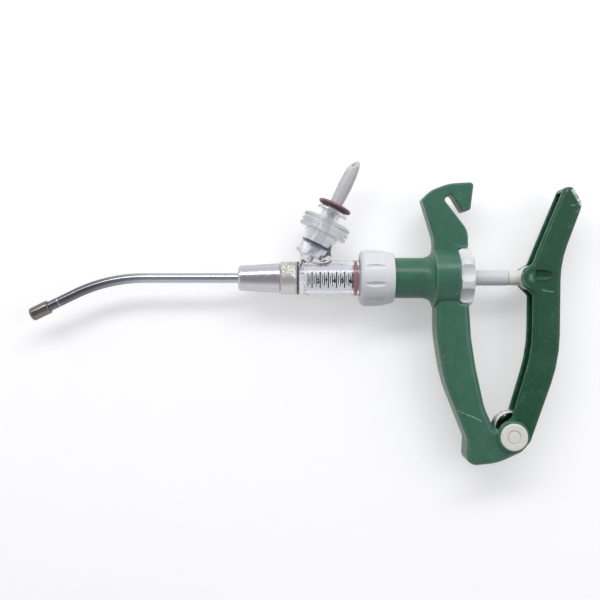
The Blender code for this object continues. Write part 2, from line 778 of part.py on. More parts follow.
def build_adapter(inlet):
    clear = new_material("clear_adapter", (0.8, 0.8, 0.87), 0.1, 0.0, 0.9)
    crest = RING_RADIUS
    root_radius = RING_RADIUS - RING_GROOVE
    outline = [
        (ADAPTER_BORE_RADIUS + GAP, SEAT_TOP),
        (SEAT_RADIUS, SEAT_TOP),
        (SEAT_RADIUS, SEAT_BOTTOM),
        (ADAPTER_NECK_RADIUS, SEAT_BOTTOM),
        (ADAPTER_NECK_RADIUS, RING_TOP),
        (root_radius - 0.6 * MM, RING_TOP),
    ]
    pitch = RING_LENGTH / RING_RIDGES
    for ridge in range(RING_RIDGES):
        top = RING_TOP - ridge * pitch
        outline += [
            (root_radius, top - 0.25 * pitch),
            (crest, top - 0.4 * pitch),
            (crest, top - 0.7 * pitch),
            (root_radius, top - 0.9 * pitch),
        ]
    shank_foot = SEAT_TOP - SPIKE_SHANK_LENGTH - GAP
    outline += [
        (root_radius - 1.2 * MM, RING_BOTTOM),
        (ADAPTER_STEP_RADIUS, RING_BOTTOM),
        (ADAPTER_STEP_RADIUS, STEP_BOTTOM),
        (CUP_BORE - GAP, STEP_BOTTOM),
        (CUP_BORE - GAP, ADAPTER_BOTTOM),
        (ADAPTER_BORE_RADIUS - 0.4 * MM, ADAPTER_BOTTOM),
        (ADAPTER_BORE_RADIUS - 0.4 * MM, shank_foot),
        (ADAPTER_BORE_RADIUS + GAP, shank_foot),
    ]
    turned("bottle_adapter", outline, ROUND_STEPS, material=clear, parent=inlet)

    maroon = new_material("maroon_rubber", (0.09, 0.035, 0.05), 0.6)
    hole = SPIKE_BASE_RADIUS + GAP + 0.25 * MM
    half = GASKET_THICKNESS / 2
    outline = [
        (hole, half),
        (GASKET_RADIUS - 0.5 * MM, half - GASKET_CUP),
        (GASKET_RADIUS, -GASKET_CUP),
        (GASKET_RADIUS - 0.5 * MM, -half - GASKET_CUP),
        (hole, -half),
    ]
    # Its far edge leans on the seat, so the tip sets how high its middle stands.
    lift = GASKET_RADIUS * math.sin(math.radians(GASKET_TIP)) + half + GASKET_CUP + GAP
    turned(
        "bottle_gasket",
        outline,
        SMALL_STEPS,
        material=maroon,
        parent=inlet,
        location=(0, 0, SEAT_TOP + lift),
        rotation=(math.radians(GASKET_TIP), 0, 0),
    )

    grey = new_material("grey_spike", (0.48, 0.48, 0.5), 0.35)
    foot = SEAT_TOP + GAP
    tip = SEAT_TOP + SPIKE_LENGTH
    shank_radius = ADAPTER_BORE_RADIUS
    shank_end = SEAT_TOP - SPIKE_SHANK_LENGTH
    shoulder = tip - SPIKE_NOSE
    profile = []
    for share, width in ((1.0, 0.0), (0.86, 0.34), (0.62, 0.66), (0.32, 0.9), (0.0, 1.0)):
        profile.append((SPIKE_RADIUS * width, shoulder + SPIKE_NOSE * share))
    outline = profile + [
        (SPIKE_BASE_RADIUS, foot),
        (shank_radius, foot),
        (shank_radius, shank_end),
        (SPIKE_BORE_RADIUS, shank_end),
        (SPIKE_BORE_RADIUS, shoulder),
        (0, shoulder),
    ]
    spike = turned("bottle_spike", outline, SMALL_STEPS, material=grey, parent=inlet)
    inlet_hole = wire(
        "spike_hole",
        [(0, 0, shoulder - 1.5 * MM), (-2 * SPIKE_RADIUS, 0, shoulder - 1.5 * MM)],
        SPIKE_BORE_RADIUS,
        2,
        parent=inlet,
    )
    cut(spike, inlet_hole)


# Piston, rod and rod end


def build_plunger(root, axis):
    white = new_material("piston_plastic", (0.7, 0.7, 0.7), 0.4)
    guide = BORE / 2 - RUNNING
    groove_front = PISTON_FRONT + PISTON_NOSE
    groove_rear = groove_front + SEAL_WIDTH + 2 * GAP
    groove_floor = guide - SEAL_DEPTH
    socket = ROD_TENON_RADIUS + GAP
    socket_front = PISTON_REAR - PISTON_SOCKET_DEPTH
    outline = [
        (0, PISTON_REAR),
        (guide - 0.4 * MM, PISTON_REAR),
        (guide, PISTON_REAR - 0.6 * MM),
        (guide, groove_rear),
        (groove_floor, groove_rear),
        (groove_floor, groove_front),
        (guide, groove_front),
        (guide - 0.5 * MM, PISTON_FRONT),
        (0, PISTON_FRONT),
    ]
    piston = turned("piston", outline, ROUND_STEPS, material=white, parent=axis)
    socket_cutter = rod(
        "piston_socket", socket, socket_front, PISTON_REAR + 1 * MM, SMALL_STEPS, parent=axis
    )
    cut(piston, socket_cutter)

    red = new_material("red_seal", (0.4, 0.06, 0.08), 0.45)
    bottom = groove_front + GAP
    top = groove_rear - GAP
    outer = BORE / 2 - RUNNING / 2
    inner = groove_floor + GAP
    outline = [
        (inner + 0.4 * MM, top),
        (outer - 0.6 * MM, top),
        (outer, (top + bottom) / 2 + 0.5 * MM),
        (outer, (top + bottom) / 2 - 0.5 * MM),
        (outer - 0.6 * MM, bottom),
        (inner + 0.4 * MM, bottom),
        (inner, (top + bottom) / 2),
    ]
    turned("piston_seal", outline, ROUND_STEPS, material=red, parent=axis)

    grey = new_material("grey_rod", (0.6, 0.6, 0.61), 0.4)
    tenon_front = socket_front + GAP
    rod_front = PISTON_REAR + GAP
    outline = [
        (0, ROD_REAR + ROD_TENON_LENGTH),
        (ROD_TENON_RADIUS, ROD_REAR + ROD_TENON_LENGTH),
        (ROD_TENON_RADIUS, ROD_REAR),
        (ROD_RADIUS, ROD_REAR),
        (ROD_RADIUS, rod_front),
        (ROD_TENON_RADIUS, rod_front),
        (ROD_TENON_RADIUS, tenon_front),
        (0, tenon_front),
    ]
    turned("piston_rod", outline, SMALL_STEPS, material=grey, parent=axis)

    cream = new_material("cream_rod_end", (0.68, 0.67, 0.62), 0.45)
    end_front = ROD_REAR + GAP
    flare_start = PIN_STATION - ROD_END_FLARE
    bulb = arc((0, PIN_STATION), EYE_RADIUS, 90, -30, 8)
    outline = [(max(x, 0.0), z) for x, z in bulb]
    outline += [
        (ROD_END_RADIUS + 0.4 * MM, flare_start + 1.6 * MM),
        (ROD_END_RADIUS, flare_start),
        (ROD_END_RADIUS, end_front),
        (0, end_front),
    ]
    outline[0] = (0, PIN_STATION + EYE_RADIUS)
    end = turned("rod_end", outline, SMALL_STEPS, material=cream, parent=axis)
    slab = block(
        "rod_end_flats",
        (3 * ROD_END_LENGTH, 3 * EYE_RADIUS, EYE_THICKNESS),
        parent=root,
        location=(PIN_STATION, 0, 0),
    )
    boolean(end, slab, "INTERSECT")
    tenon_hole = rod(
        "tenon_hole",
        ROD_TENON_RADIUS + GAP,
        end_front - 1 * MM,
        ROD_REAR + ROD_TENON_LENGTH + GAP,
        SMALL_STEPS,
        parent=axis,
    )
    pin_hole = rod(
        "pin_hole",
        LINK_PIN_RADIUS + GAP,
        -EYE_THICKNESS,
        EYE_THICKNESS,
        TINY_STEPS,
        parent=root,
        location=(PIN_STATION, 0, 0),
    )
    cut(end, tenon_hole, pin_hole)

    steel = new_material("link_pin_steel", (0.5, 0.5, 0.5), 0.3, 1.0)
    half = LEVER_WIDTH / 2 - ear_thickness() + LINK_PIN_GRIP
    rod(
        "link_pin",
        LINK_PIN_RADIUS,
        -half,
        half,
        TINY_STEPS,
        material=steel,
        parent=root,
        location=(PIN_STATION, 0, 0),
    )


def ear_thickness():
    return LEVER_WIDTH / 2 - EYE_THICKNESS / 2 - GAP


# Body


def at_handle(corners):
    """The filleted outline of corners in millimetres from the handle's station."""
    return filleted([(HANDLE_STATION + x * DRAWN, y * DRAWN, r * DRAWN) for x, y, r in corners])


def hook_outline():
    """The hook's side view."""
    corners = [
        (-16.5, -4, 0),
        (-16.5, 23, 24),
        (-23.8, 46.6, 1.4),
        (-18.6, 51.8, 12),
        (-8.0, 56.0, 26),
        (7.1, 56.8, 2.2),
        (5.0, 40.4, 1.5),
        (0.4, 39.2, 1.2),
        (-6.2, 49.8, 1.6),
        (-11.0, 46.8, 2.0),
        (3.6, 28.0, 13),
        (3.8, -4, 0),
    ]
    return at_handle(corners)


def grip_outline():
    """The grip's side view: its front edge down to the toe, then back up its inner edge."""
    corners = [
        (-15.6, 4, 0),
        (-15.6, -34, 70),
        (-11.4, -60.5, 90),
        (2.6, -95.8, 6),
        (1.9, -108.5, 5),
        (7.0, -110.9, 8),
        (20.0, -109.6, 30),
        (37.4, -102.0, 8.4),
        (38.9, -86.0, 8.4),
        (25.0, -86.5, 2),
        (18.6, -89.4, 1),
        (12.8, -77.0, 30),
        (7.6, -53, 60),
        (5.0, -36, 40),
        (3.8, -18, 20),
        (3.8, 4, 0),
    ]
    return at_handle(corners)


def grip_channel():
    """The hollow between the grip's side walls, open towards the lever."""
    web = GRIP_WEB / DRAWN
    corners = [
        (-15.6 + web, -27, 4),
        (-15.6 + web, -34, 66),
        (-11.4 + web, -60.5, 86),
        (2.6 + web, -94, 4),
        (10.0 + web, -97, 4),
        (26.0, -97, 0),
        (34.0, -80, 0),
        (20.0, -27, 0),
    ]
    return at_handle(corners)


def build_body(root, axis, pivot):
    green = new_material("body_nylon", NYLON_GREEN, 0.45)
    thread_rear = BODY_FRONT + BODY_THREAD_LENGTH
    flare_front = KNOB_SEAT - HUB_LENGTH - HUB_FLARE
    flare = arc((0, 0), 1.0, 90, 0, 4)
    flare = [
        (
            TUBE_RADIUS + (HUB_RADIUS - TUBE_RADIUS) * (1 - across),
            flare_front + HUB_FLARE * along,
        )
        for across, along in flare
    ]
    outline = [(0, KNOB_SEAT), (HUB_RADIUS, KNOB_SEAT)] + flare
    outline += [
        (TUBE_RADIUS, thread_rear),
        (REAR_FLANGE_RADIUS, thread_rear),
        (REAR_FLANGE_RADIUS, BODY_FRONT),
        (0, BODY_FRONT),
    ]
    body = turned("body_handle", outline, ROUND_STEPS, material=green, parent=axis)

    hook = plate("hook_form", hook_outline(), HOOK_THICKNESS, HOOK_EDGE, 1, parent=root)
    grip = plate("grip_form", grip_outline(), GRIP_THICKNESS, GRIP_EDGE, 2, parent=root)
    ears = rod(
        "boss_form",
        BOSS_RADIUS,
        -GRIP_THICKNESS / 2 - BOSS_HEIGHT,
        GRIP_THICKNESS / 2 + BOSS_HEIGHT,
        ROUND_STEPS,
        parent=pivot,
    )
    join(body, hook, grip, ears)

    bore = rod(
        "body_bore", BODY_BORE_RADIUS, BODY_FRONT - 1 * MM, KNOB_SEAT + 1 * MM, SMALL_STEPS, parent=axis
    )
    recess = rod(
        "knob_recess", KNOB_RADIUS + 2 * GAP, KNOB_SEAT, KNOB_REAR + 20 * MM, ROUND_STEPS, parent=axis
    )
    channel = plate("grip_channel", grip_channel(), GRIP_THICKNESS - 2 * GRIP_WALL, parent=root)
    clevis = [
        (-11.4, -4.6, 6),
        (-4.0, -11.4, 9),
        (20.0, -13.0, 0),
        (20.0, 16.0, 0),
        (-6.0, 16.0, 0),
    ]
    clevis = filleted([(x * DRAWN, y * DRAWN, r * DRAWN) for x, y, r in clevis])
    clevis_gap = plate("clevis_gap", clevis, LEVER_WIDTH + 2 * GAP, parent=pivot)
    pivot_hole = rod(
        "pivot_hole",
        CAP_SHANK_RADIUS + GAP,
        -GRIP_THICKNESS,
        GRIP_THICKNESS,
        SMALL_STEPS,
        parent=pivot,
    )
    cut(body, bore, recess, channel, clevis_gap, pivot_hole)


def build_nut(axis):
    white = new_material("nut_plastic", (0.68, 0.69, 0.73), 0.4)
    rear = NUT_FRONT + NUT_LENGTH
    cavity = REAR_FLANGE_RADIUS + GAP + 0.1 * MM
    lip_hole = BARREL_RADIUS + GAP
    widest = NUT_FRONT + 8.5 * MM
    front_round = arc((NUT_RADIUS - NUT_CORNER, NUT_FRONT + NUT_CORNER), NUT_CORNER, -12, -84, 4)
    rear_round = 1.2 * MM
    outline = [
        (cavity, rear),
        (NUT_REAR_RADIUS - rear_round, rear),
        (NUT_REAR_RADIUS, rear - rear_round),
        (NUT_RADIUS - 0.5 * MM, widest + 5.5 * MM),
        (NUT_RADIUS, widest),
    ]
    outline += front_round
    outline += [
        (NUT_FRONT_RADIUS - 1.2 * MM, NUT_FRONT),
        (lip_hole, NUT_FRONT + 0.2 * MM),
        (lip_hole, NUT_FRONT + NUT_LIP),
        (cavity, NUT_FRONT + NUT_LIP),
    ]
    nut = turned("union_nut", outline, ROUND_STEPS, material=white, parent=axis)
    for flute in range(NUT_FLUTES):
        turn = 2 * math.pi * (flute + 0.28) / NUT_FLUTES
        holder = new_empty(f"flute_{flute}_turn", axis, (0, 0, 0), (0, 0, turn))
        cutter = ball(
            f"flute_{flute}",
            1.0,
            8,
            8,
            scale=(1.6 * FLUTE_DEPTH, FLUTE_WIDTH / 2, FLUTE_LENGTH / 2),
            parent=holder,
            location=(NUT_RADIUS + 0.45 * FLUTE_DEPTH, 0, NUT_FRONT + 9.8 * MM),
        )
        cut(nut, cutter)


def build_knob(axis):
    white = new_material("knob_plastic", (0.7, 0.71, 0.75), 0.4)
    hole = ROD_END_RADIUS + RUNNING
    rim = KNOB_RIM_ROUND
    rear_round = arc((KNOB_RADIUS - rim, KNOB_REAR - rim), rim, 80, 0, 3)
    seat = KNOB_FRONT + SLEEVE_SEAT
    outline = [(KNOB_DISH_RADIUS, KNOB_REAR)]
    outline += rear_round
    outline += [
        (KNOB_RADIUS, KNOB_FRONT + 1.6 * MM),
        (KNOB_RADIUS - 1.0 * MM, KNOB_FRONT),
        (SLEEVE_RADIUS + GAP, KNOB_FRONT),
        (SLEEVE_RADIUS + GAP, seat),
        (hole, seat),
        (hole, KNOB_REAR - KNOB_DISH_DEPTH - 0.8 * MM),
        (hole + 1.2 * MM, KNOB_REAR - KNOB_DISH_DEPTH),
        (KNOB_DISH_RADIUS - 0.6 * MM, KNOB_REAR - KNOB_DISH_DEPTH),
    ]
    knob = turned("dose_knob", outline, KNOB_STEPS, material=white, parent=axis)
    for scallop in range(KNOB_SCALLOPS):
        turn = 2 * math.pi * (scallop + 0.15) / KNOB_SCALLOPS
        holder = new_empty(f"scallop_{scallop}_turn", axis, (0, 0, 0), (0, 0, turn))
        cutter = rod(
            f"scallop_{scallop}",
            SCALLOP_RADIUS,
            KNOB_FRONT - 2 * MM,
            KNOB_REAR + 2 * MM,
            SMALL_STEPS,
            parent=holder,
            location=(KNOB_RADIUS + SCALLOP_RADIUS - SCALLOP_DEPTH, 0, 0),
        )
        cut(knob, cutter)

    acetal = new_material("sleeve_acetal", (0.6, 0.6, 0.58), 0.45)
    ring(
        "dose_sleeve",
        SLEEVE_RADIUS,
        ROD_END_RADIUS + RUNNING,
        SLEEVE_FRONT,
        SLEEVE_REAR,
        SMALL_STEPS,
        material=acetal,
        parent=axis,
    )


# Lever and pivot, drawn from the pivot's axis


def lever_outline():
    corners = [
        (31.3, 146.6, 2.8),
        (15.8, 109.6, 40),
        (12.6, 101.6, 4),
        (6.8, 98.4, 3),
        (6.8, 89.0, 3),
        (12.8, 83, 3),
        (12.4, 50, 90),
        (0.4, 10.0, 6),
        (-8.2, 5.5, 8),
        (-6.5, -8.6, 8),
        (9.8, -8.4, 9.5),
        (28.6, 44.7, 90),
        (29.4, 102.6, 60),
        (42.3, 137.0, 7),
        (36.2, 147.8, 3.6),
    ]
    return filleted([(x * DRAWN, y * DRAWN, r * DRAWN) for x, y, r in corners])


def lever_channel_low():
    """The deep hollow below and round the link, with the web left at the back."""
    web = LEVER_WEB / DRAWN
    corners = [
        (-20, 106, 0),
        (-20, -20, 0),
        (24, -20, 0),
        (24, 13.4, 0),
        (18.6 - web, 14.8, 1.5),
        (28.6 - web, 44.7, 86),
        (29.4 - web, 98.0, 50),
        (26.6, 106, 4),
    ]
    return filleted([(x * DRAWN, y * DRAWN, r * DRAWN) for x, y, r in corners])


def lever_channel_high():
    """The shallower hollow up the front of the lever's top."""
    corners = [
        (4, 100, 0),
        (25.4, 100, 0),
        (25.0, 118, 30),
        (36.2, 141.8, 3),
        (20, 149, 0),
        (4, 120, 0),
    ]
    return filleted([(x * DRAWN, y * DRAWN, r * DRAWN) for x, y, r in corners])


def build_lever(root, pivot):
    green = new_material("lever_nylon", (0.03, 0.115, 0.065), 0.45)
    lever = plate(
        "lever", lever_outline(), LEVER_WIDTH, LEVER_EDGE, 2, material=green, parent=pivot
    )
    pin = Vector((PIN_BEHIND_PIVOT, PIVOT_BELOW_AXIS, 0))
    ears = rod(
        "ear_form",
        EAR_RADIUS,
        -LEVER_WIDTH / 2,
        LEVER_WIDTH / 2,
        SMALL_STEPS,
        parent=pivot,
        location=pin,
    )
    join(lever, ears)
    inner = LEVER_WIDTH - 2 * LEVER_WALL
    low = plate("channel_low", lever_channel_low(), inner, parent=pivot)
    high = plate("channel_high", lever_channel_high(), inner - 1 * MM, parent=pivot)
    cut(lever, low, high)

    # The pin's sockets are long along the lever, which takes up the arc that the ears swing on.
    along = math.atan2(-PIN_BEHIND_PIVOT, PIVOT_BELOW_AXIS)
    half_width = LINK_PIN_RADIUS + GAP
    half_length = half_width + LINK_SLOT_TRAVEL / 2
    slot = filleted(
        [
            (-half_width, -half_length, half_width * 0.98),
            (half_width, -half_length, half_width * 0.98),
            (half_width, half_length, half_width * 0.98),
            (-half_width, half_length, half_width * 0.98),
        ],
        30.0,
    )
    depth = 2 * (LEVER_WIDTH / 2 - ear_thickness() + LINK_PIN_GRIP + GAP)
    sockets = plate("link_sockets", slot, depth, parent=pivot, location=pin, rotation=(0, 0, along))
    cut(lever, sockets)

    for side in (1, -1):
        scoop = scoop_cutter(f"scoop_{side}", side, pivot, pin)
        cut(lever, scoop)

    hole = rod(
        "bush_hole", HUB_BUSH_RADIUS + GAP, -LEVER_WIDTH, LEVER_WIDTH, SMALL_STEPS, parent=pivot
    )
    cut(lever, hole)


def scoop_cutter(name, side, pivot, pin):
    """A thumbnail of a hollow: blunt at the pin, running out to a point behind it."""
    lift = SCOOP_WIDTH / 2 - SCOOP_DEPTH
    radius = SCOOP_WIDTH / 2 + 0.4 * MM
    stretch = [(0, 0.0), (0.1, 0.62), (0.25, 0.92), (0.45, 1.0), (0.7, 0.75), (0.9, 0.42), (1, 0)]
    outline = [(radius * share, SCOOP_LENGTH * at) for at, share in reversed(stretch)]
    start = Vector((1.4 * MM, 0.6 * MM, side * (LEVER_WIDTH / 2 + lift)))
    return turned(
        name, outline, TINY_STEPS, parent=pivot, location=pin + start, rotation=(0, math.radians(90), 0)
    )


def build_pivot(root, pivot):
    boss_face = GRIP_THICKNESS / 2 + BOSS_HEIGHT
    head_inner = boss_face + GAP
    head_outer = head_inner + CAP_HEAD
    shank_end = LEVER_WIDTH / 2 + 2 * GAP
    socket = PIVOT_PIN_RADIUS + GAP
    cream = new_material("cap_plastic", (0.72, 0.71, 0.66), 0.4)
    outline = [
        (0, head_outer - 0.35 * MM),
        (CAP_RING_RADIUS - 0.3 * MM, head_outer - 0.35 * MM),
        (CAP_RING_RADIUS, head_outer),
        (CAP_RADIUS - 0.6 * MM, head_outer),
        (CAP_RADIUS, head_outer - 0.6 * MM),
        (CAP_RADIUS, head_inner),
        (CAP_SHANK_RADIUS, head_inner),
        (CAP_SHANK_RADIUS, shank_end),
        (0, shank_end),
    ]
    pin_end = head_inner
    for name, flip in (("pivot_cap_near", 0), ("pivot_cap_far", math.pi)):
        cap = turned(
            name, outline, SMALL_STEPS, material=cream, parent=pivot, rotation=(flip, 0, 0)
        )
        pocket = rod(
            f"{name}_pocket",
            socket,
            0,
            pin_end + GAP,
            SMALL_STEPS,
            parent=pivot,
            rotation=(flip, 0, 0),
        )
        cut(cap, pocket)

    steel = new_material("pivot_steel", (0.5, 0.5, 0.5), 0.3, 1.0)
    rod("pivot_pin", PIVOT_PIN_RADIUS, -pin_end, pin_end, SMALL_STEPS, material=steel, parent=pivot)
    dark = new_material("bush_plastic", (0.1, 0.1, 0.1), 0.5)
    ring(
        "pivot_bush",
        HUB_BUSH_RADIUS,
        PIVOT_PIN_RADIUS + GAP,
        -LEVER_WIDTH / 2,
        LEVER_WIDTH / 2,
        SMALL_STEPS,
        material=dark,
        parent=pivot,
    )


def build_torsion_spring(pivot):
    """One wire: a leg along the grip, the coil hung on the pivot's bush, a leg up the lever."""
    lift = COIL_RADIUS - WIRE / 2 - HUB_BUSH_RADIUS - GAP
    centre = Vector((0.12 * lift, 0.99 * lift, 0))
    # A wire that leaves the coil on a heading touches it a quarter turn before that heading.
    start = math.radians(BODY_LEG_HEADING + 90)
    end = math.radians(LEVER_LEG_HEADING - 90)
    turn = end - start + 2 * math.pi * (COIL_TURNS + 1)
    height = COIL_PITCH * turn / (2 * math.pi)
    coil = [Vector(p) + centre for p in helix(COIL_RADIUS, start, turn, height, COIL_STEPS)]
    body_turn = math.radians(BODY_LEG_HEADING)
    lever_turn = math.radians(LEVER_LEG_HEADING)
    body_leg = Vector((math.cos(body_turn), math.sin(body_turn), 0))
    lever_leg = Vector((math.cos(lever_turn), math.sin(lever_turn), 0))
    points = [coil[0] + body_leg * BODY_LEG] + coil + [coil[-1] + lever_leg * LEVER_LEG]
    gap = least_gap(points, WIRE / 2, math.pi * COIL_RADIUS)
    print(f"torsion_spring: least gap between turns {gap / MM:.2f} mm")
    steel = new_material("spring_steel", (0.4, 0.4, 0.41), 0.25, 1.0)
    wire("torsion_spring", points, WIRE / 2, 1, material=steel, parent=pivot)


def set_on_origin(root):
    """Moves the whole so that the origin is under the middle of its box, on what it lies on."""
    bpy.context.view_layer.update()
    graph = bpy.context.evaluated_depsgraph_get()
    corners = []
    for obj in PARTS.objects:
        if obj.type != "MESH":
            continue
        evaluated = obj.evaluated_get(graph)
        mesh = evaluated.to_mesh()
        corners += [evaluated.matrix_world @ vertex.co for vertex in mesh.vertices]
        evaluated.to_mesh_clear()
    low = [min(corner[k] for corner in corners) for k in range(3)]
    high = [max(corner[k] for corner in corners) for k in range(3)]
    root.location = (-(low[0] + high[0]) / 2, -(low[1] + high[1]) / 2, -low[2])


clear_scene()
PARTS = new_collection("pour_on_applicator")
CUTTERS = new_collection("cutters")


def main():
    root = new_empty("applicator")
    axis = new_empty("pump_axis", root, (0, 0, 0), (0, math.radians(90), 0))
    inlet = new_empty(
        "inlet_axis", root, (0, 0, 0), (math.radians(-90), 0, math.radians(-INLET_LEAN))
    )
    pivot = new_empty("lever_pivot", root, (PIVOT_STATION, -PIVOT_BELOW_AXIS, 0))
    build_nozzle(root, axis)
    build_outlet_valve(axis)
    build_barrel(root, axis, inlet)
    build_inlet_valve(inlet)
    build_adapter(inlet)
    build_plunger(root, axis)
    build_nut(axis)
    build_body(root, axis, pivot)
    build_knob(axis)
    build_lever(root, pivot)
    build_pivot(root, pivot)
    build_torsion_spring(pivot)
    set_on_origin(root)


main()
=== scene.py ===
# %% [markdown]
# # A pour-on applicator on a pale table
# A stock owner holds this tool like a pistol: squeezing the lever pushes a piston down the clear
# barrel, and a measured dose runs out of the bent nozzle. The CAD frame already says where each
# piece is and how it moves. This lesson dresses that frame: it makes finer shapes over the plain
# solids and gives each one the finish that years of use have left on it.

# %% Load the frame
import json
import math

import bmesh
import bpy
from mathutils import Matrix, Vector

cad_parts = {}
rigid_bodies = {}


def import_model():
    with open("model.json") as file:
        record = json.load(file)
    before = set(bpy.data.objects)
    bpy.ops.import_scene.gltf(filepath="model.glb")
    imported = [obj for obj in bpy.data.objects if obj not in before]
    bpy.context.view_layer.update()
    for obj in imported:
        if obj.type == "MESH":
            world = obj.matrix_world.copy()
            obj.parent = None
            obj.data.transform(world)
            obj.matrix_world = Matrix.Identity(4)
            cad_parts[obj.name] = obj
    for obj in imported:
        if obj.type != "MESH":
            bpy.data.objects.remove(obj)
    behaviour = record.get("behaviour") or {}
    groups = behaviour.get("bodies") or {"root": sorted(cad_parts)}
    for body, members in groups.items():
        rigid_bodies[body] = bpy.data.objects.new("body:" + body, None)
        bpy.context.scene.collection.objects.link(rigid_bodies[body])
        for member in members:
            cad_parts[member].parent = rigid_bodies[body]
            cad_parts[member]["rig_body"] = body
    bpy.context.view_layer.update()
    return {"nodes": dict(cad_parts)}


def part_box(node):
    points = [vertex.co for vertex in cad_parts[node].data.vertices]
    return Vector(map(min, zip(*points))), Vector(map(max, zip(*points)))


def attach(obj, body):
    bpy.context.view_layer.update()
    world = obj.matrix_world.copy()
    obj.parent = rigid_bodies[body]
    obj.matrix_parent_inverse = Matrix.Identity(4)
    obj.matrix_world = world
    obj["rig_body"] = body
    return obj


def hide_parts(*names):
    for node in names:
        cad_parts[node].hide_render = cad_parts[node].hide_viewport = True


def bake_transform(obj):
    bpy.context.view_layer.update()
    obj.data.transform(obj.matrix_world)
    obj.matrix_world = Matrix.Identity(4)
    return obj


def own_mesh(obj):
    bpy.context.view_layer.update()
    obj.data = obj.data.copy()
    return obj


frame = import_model()

# %% [markdown]
# ## Working frames
# Everything here is drawn in millimetres from a few axes that the real maker would also use: the
# pump's axis, the leaning inlet's axis and the lever's pivot. Each frame is a matrix that turns
# those drawings into the CAD's metres, so no piece has to be nudged into place by hand.

# %% Frames from the CAD's own boxes
MM = 0.001
NECK_FRONT = -7.5  # where the barrel's front end lies on the pump's axis
INLET_LEAN = 26.0  # degrees from upright
PIVOT_AT = (125.0, -93.4, 0.0)
EYE_FROM_PIVOT = (12.0, 93.4, 0.0)  # the middle of the eye on the rod's end


def shifted(x, y, z):
    return Matrix.Translation((x, y, z))


def tilted(degrees, axis):
    return Matrix.Rotation(math.radians(degrees), 4, axis)


sleeve_low, sleeve_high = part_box("dose_sleeve")
pump_zero = (sleeve_low + sleeve_high) / 2
pump_zero.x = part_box("barrel")[0].x - NECK_FRONT * MM
PUMP = Matrix.Translation(pump_zero) @ Matrix.Scale(MM, 4)
LENGTHWAYS = tilted(90, "Y")
ALONG = PUMP @ LENGTHWAYS
LEANING = tilted(-INLET_LEAN, "Z") @ tilted(-90, "X")
INLET = PUMP @ LEANING
PIVOT = PUMP @ shifted(*PIVOT_AT)
print("pump axis at", [round(v * 1000, 2) for v in pump_zero], "mm")

# %% [markdown]
# ## A camera straight above
# The tool was photographed lying on its side, from right above and quite close, so near faces look
# a little larger than far ones. A real lens length and distance give that same perspective.

# %% Camera
def in_scene(name, data):
    """An object that shows some data in the scene."""
    made = bpy.data.objects.new(name, data)
    bpy.context.scene.collection.objects.link(made)
    return made


camera_data = bpy.data.cameras.new("camera")
camera_data.sensor_width = 36
camera_data.lens = 48
camera = in_scene("camera", camera_data)
camera.location = PUMP @ Vector((0, -13.2, 480))
bpy.context.scene.camera = camera
bpy.context.scene.view_settings.view_transform = "Standard"

# %% [markdown]
# ## Table and light
# A product shot needs a pale table, a broad soft light and little else. The sky is a little darker
# straight above than at the horizon, because polished metal mirrors it: that is what gives the
# nozzle its dark band between two bright lines. One long strip lamp stands beyond the hook, so
# every round piece carries a thin bright line on that side and falls off into shade on the other.
# The lamps stay at a level where a colour renders about as it is written.

# %% Node helpers
def add_node(tree, kind, settings=None, **inputs):
    """Adds a shader node. Inputs are values or sockets, named as on the node."""
    made = tree.nodes.new("ShaderNode" + kind)
    for key, value in (settings or {}).items():
        setattr(made, key, value)
    for key, value in inputs.items():
        plug(tree, made.inputs[key.replace("_", " ")], value)
    return made


def plug(tree, socket, value):
    if isinstance(value, bpy.types.NodeSocket):
        tree.links.new(value, socket)
    else:
        socket.default_value = value


def maths(tree, operation, *values):
    made = add_node(tree, "Math", {"operation": operation})
    for socket, value in zip(made.inputs, values):
        plug(tree, socket, value)
    return made.outputs[0]


def mixed(tree, share, first, second, blend="MIX"):
    made = add_node(tree, "Mix", {"data_type": "RGBA", "blend_type": blend})
    for index, value in ((0, share), (6, first), (7, second)):
        plug(tree, made.inputs[index], value)
    return made.outputs[2]


def ranged(tree, value, low, high, new_low=0.0, new_high=1.0):
    """A value spread smoothly from the range low..high to another one."""
    made = add_node(tree, "MapRange", {"interpolation_type": "SMOOTHSTEP"})
    for index, number in enumerate((value, low, high, new_low, new_high)):
        plug(tree, made.inputs[index], number)
    return made.outputs[0]


def times(tree, first, *others):
    """The product of values or sockets."""
    for value in others:
        first = maths(tree, "MULTIPLY", first, value)
    return first


def noise(tree, where, scale, detail, roughness=0.5):
    made = add_node(tree, "TexNoise", Vector=where, Scale=scale, Detail=detail, Roughness=roughness)
    return made.outputs[0]


def object_place(tree):
    return add_node(tree, "TexCoord").outputs["Object"]


def split(tree, vector):
    return add_node(tree, "SeparateXYZ", Vector=vector).outputs


def distance_from(tree, point):
    made = add_node(tree, "VectorMath", {"operation": "DISTANCE"})
    plug(tree, made.inputs[0], object_place(tree))
    plug(tree, made.inputs[1], point)
    return made.outputs["Value"]


def rgb(*channels):
    return (*channels, 1.0)


def new_material(name):
    """A fresh material, its node tree and its one shader."""
    material = bpy.data.materials.new(name)
    material.use_nodes = True
    return material, material.node_tree, material.node_tree.nodes["Principled BSDF"]


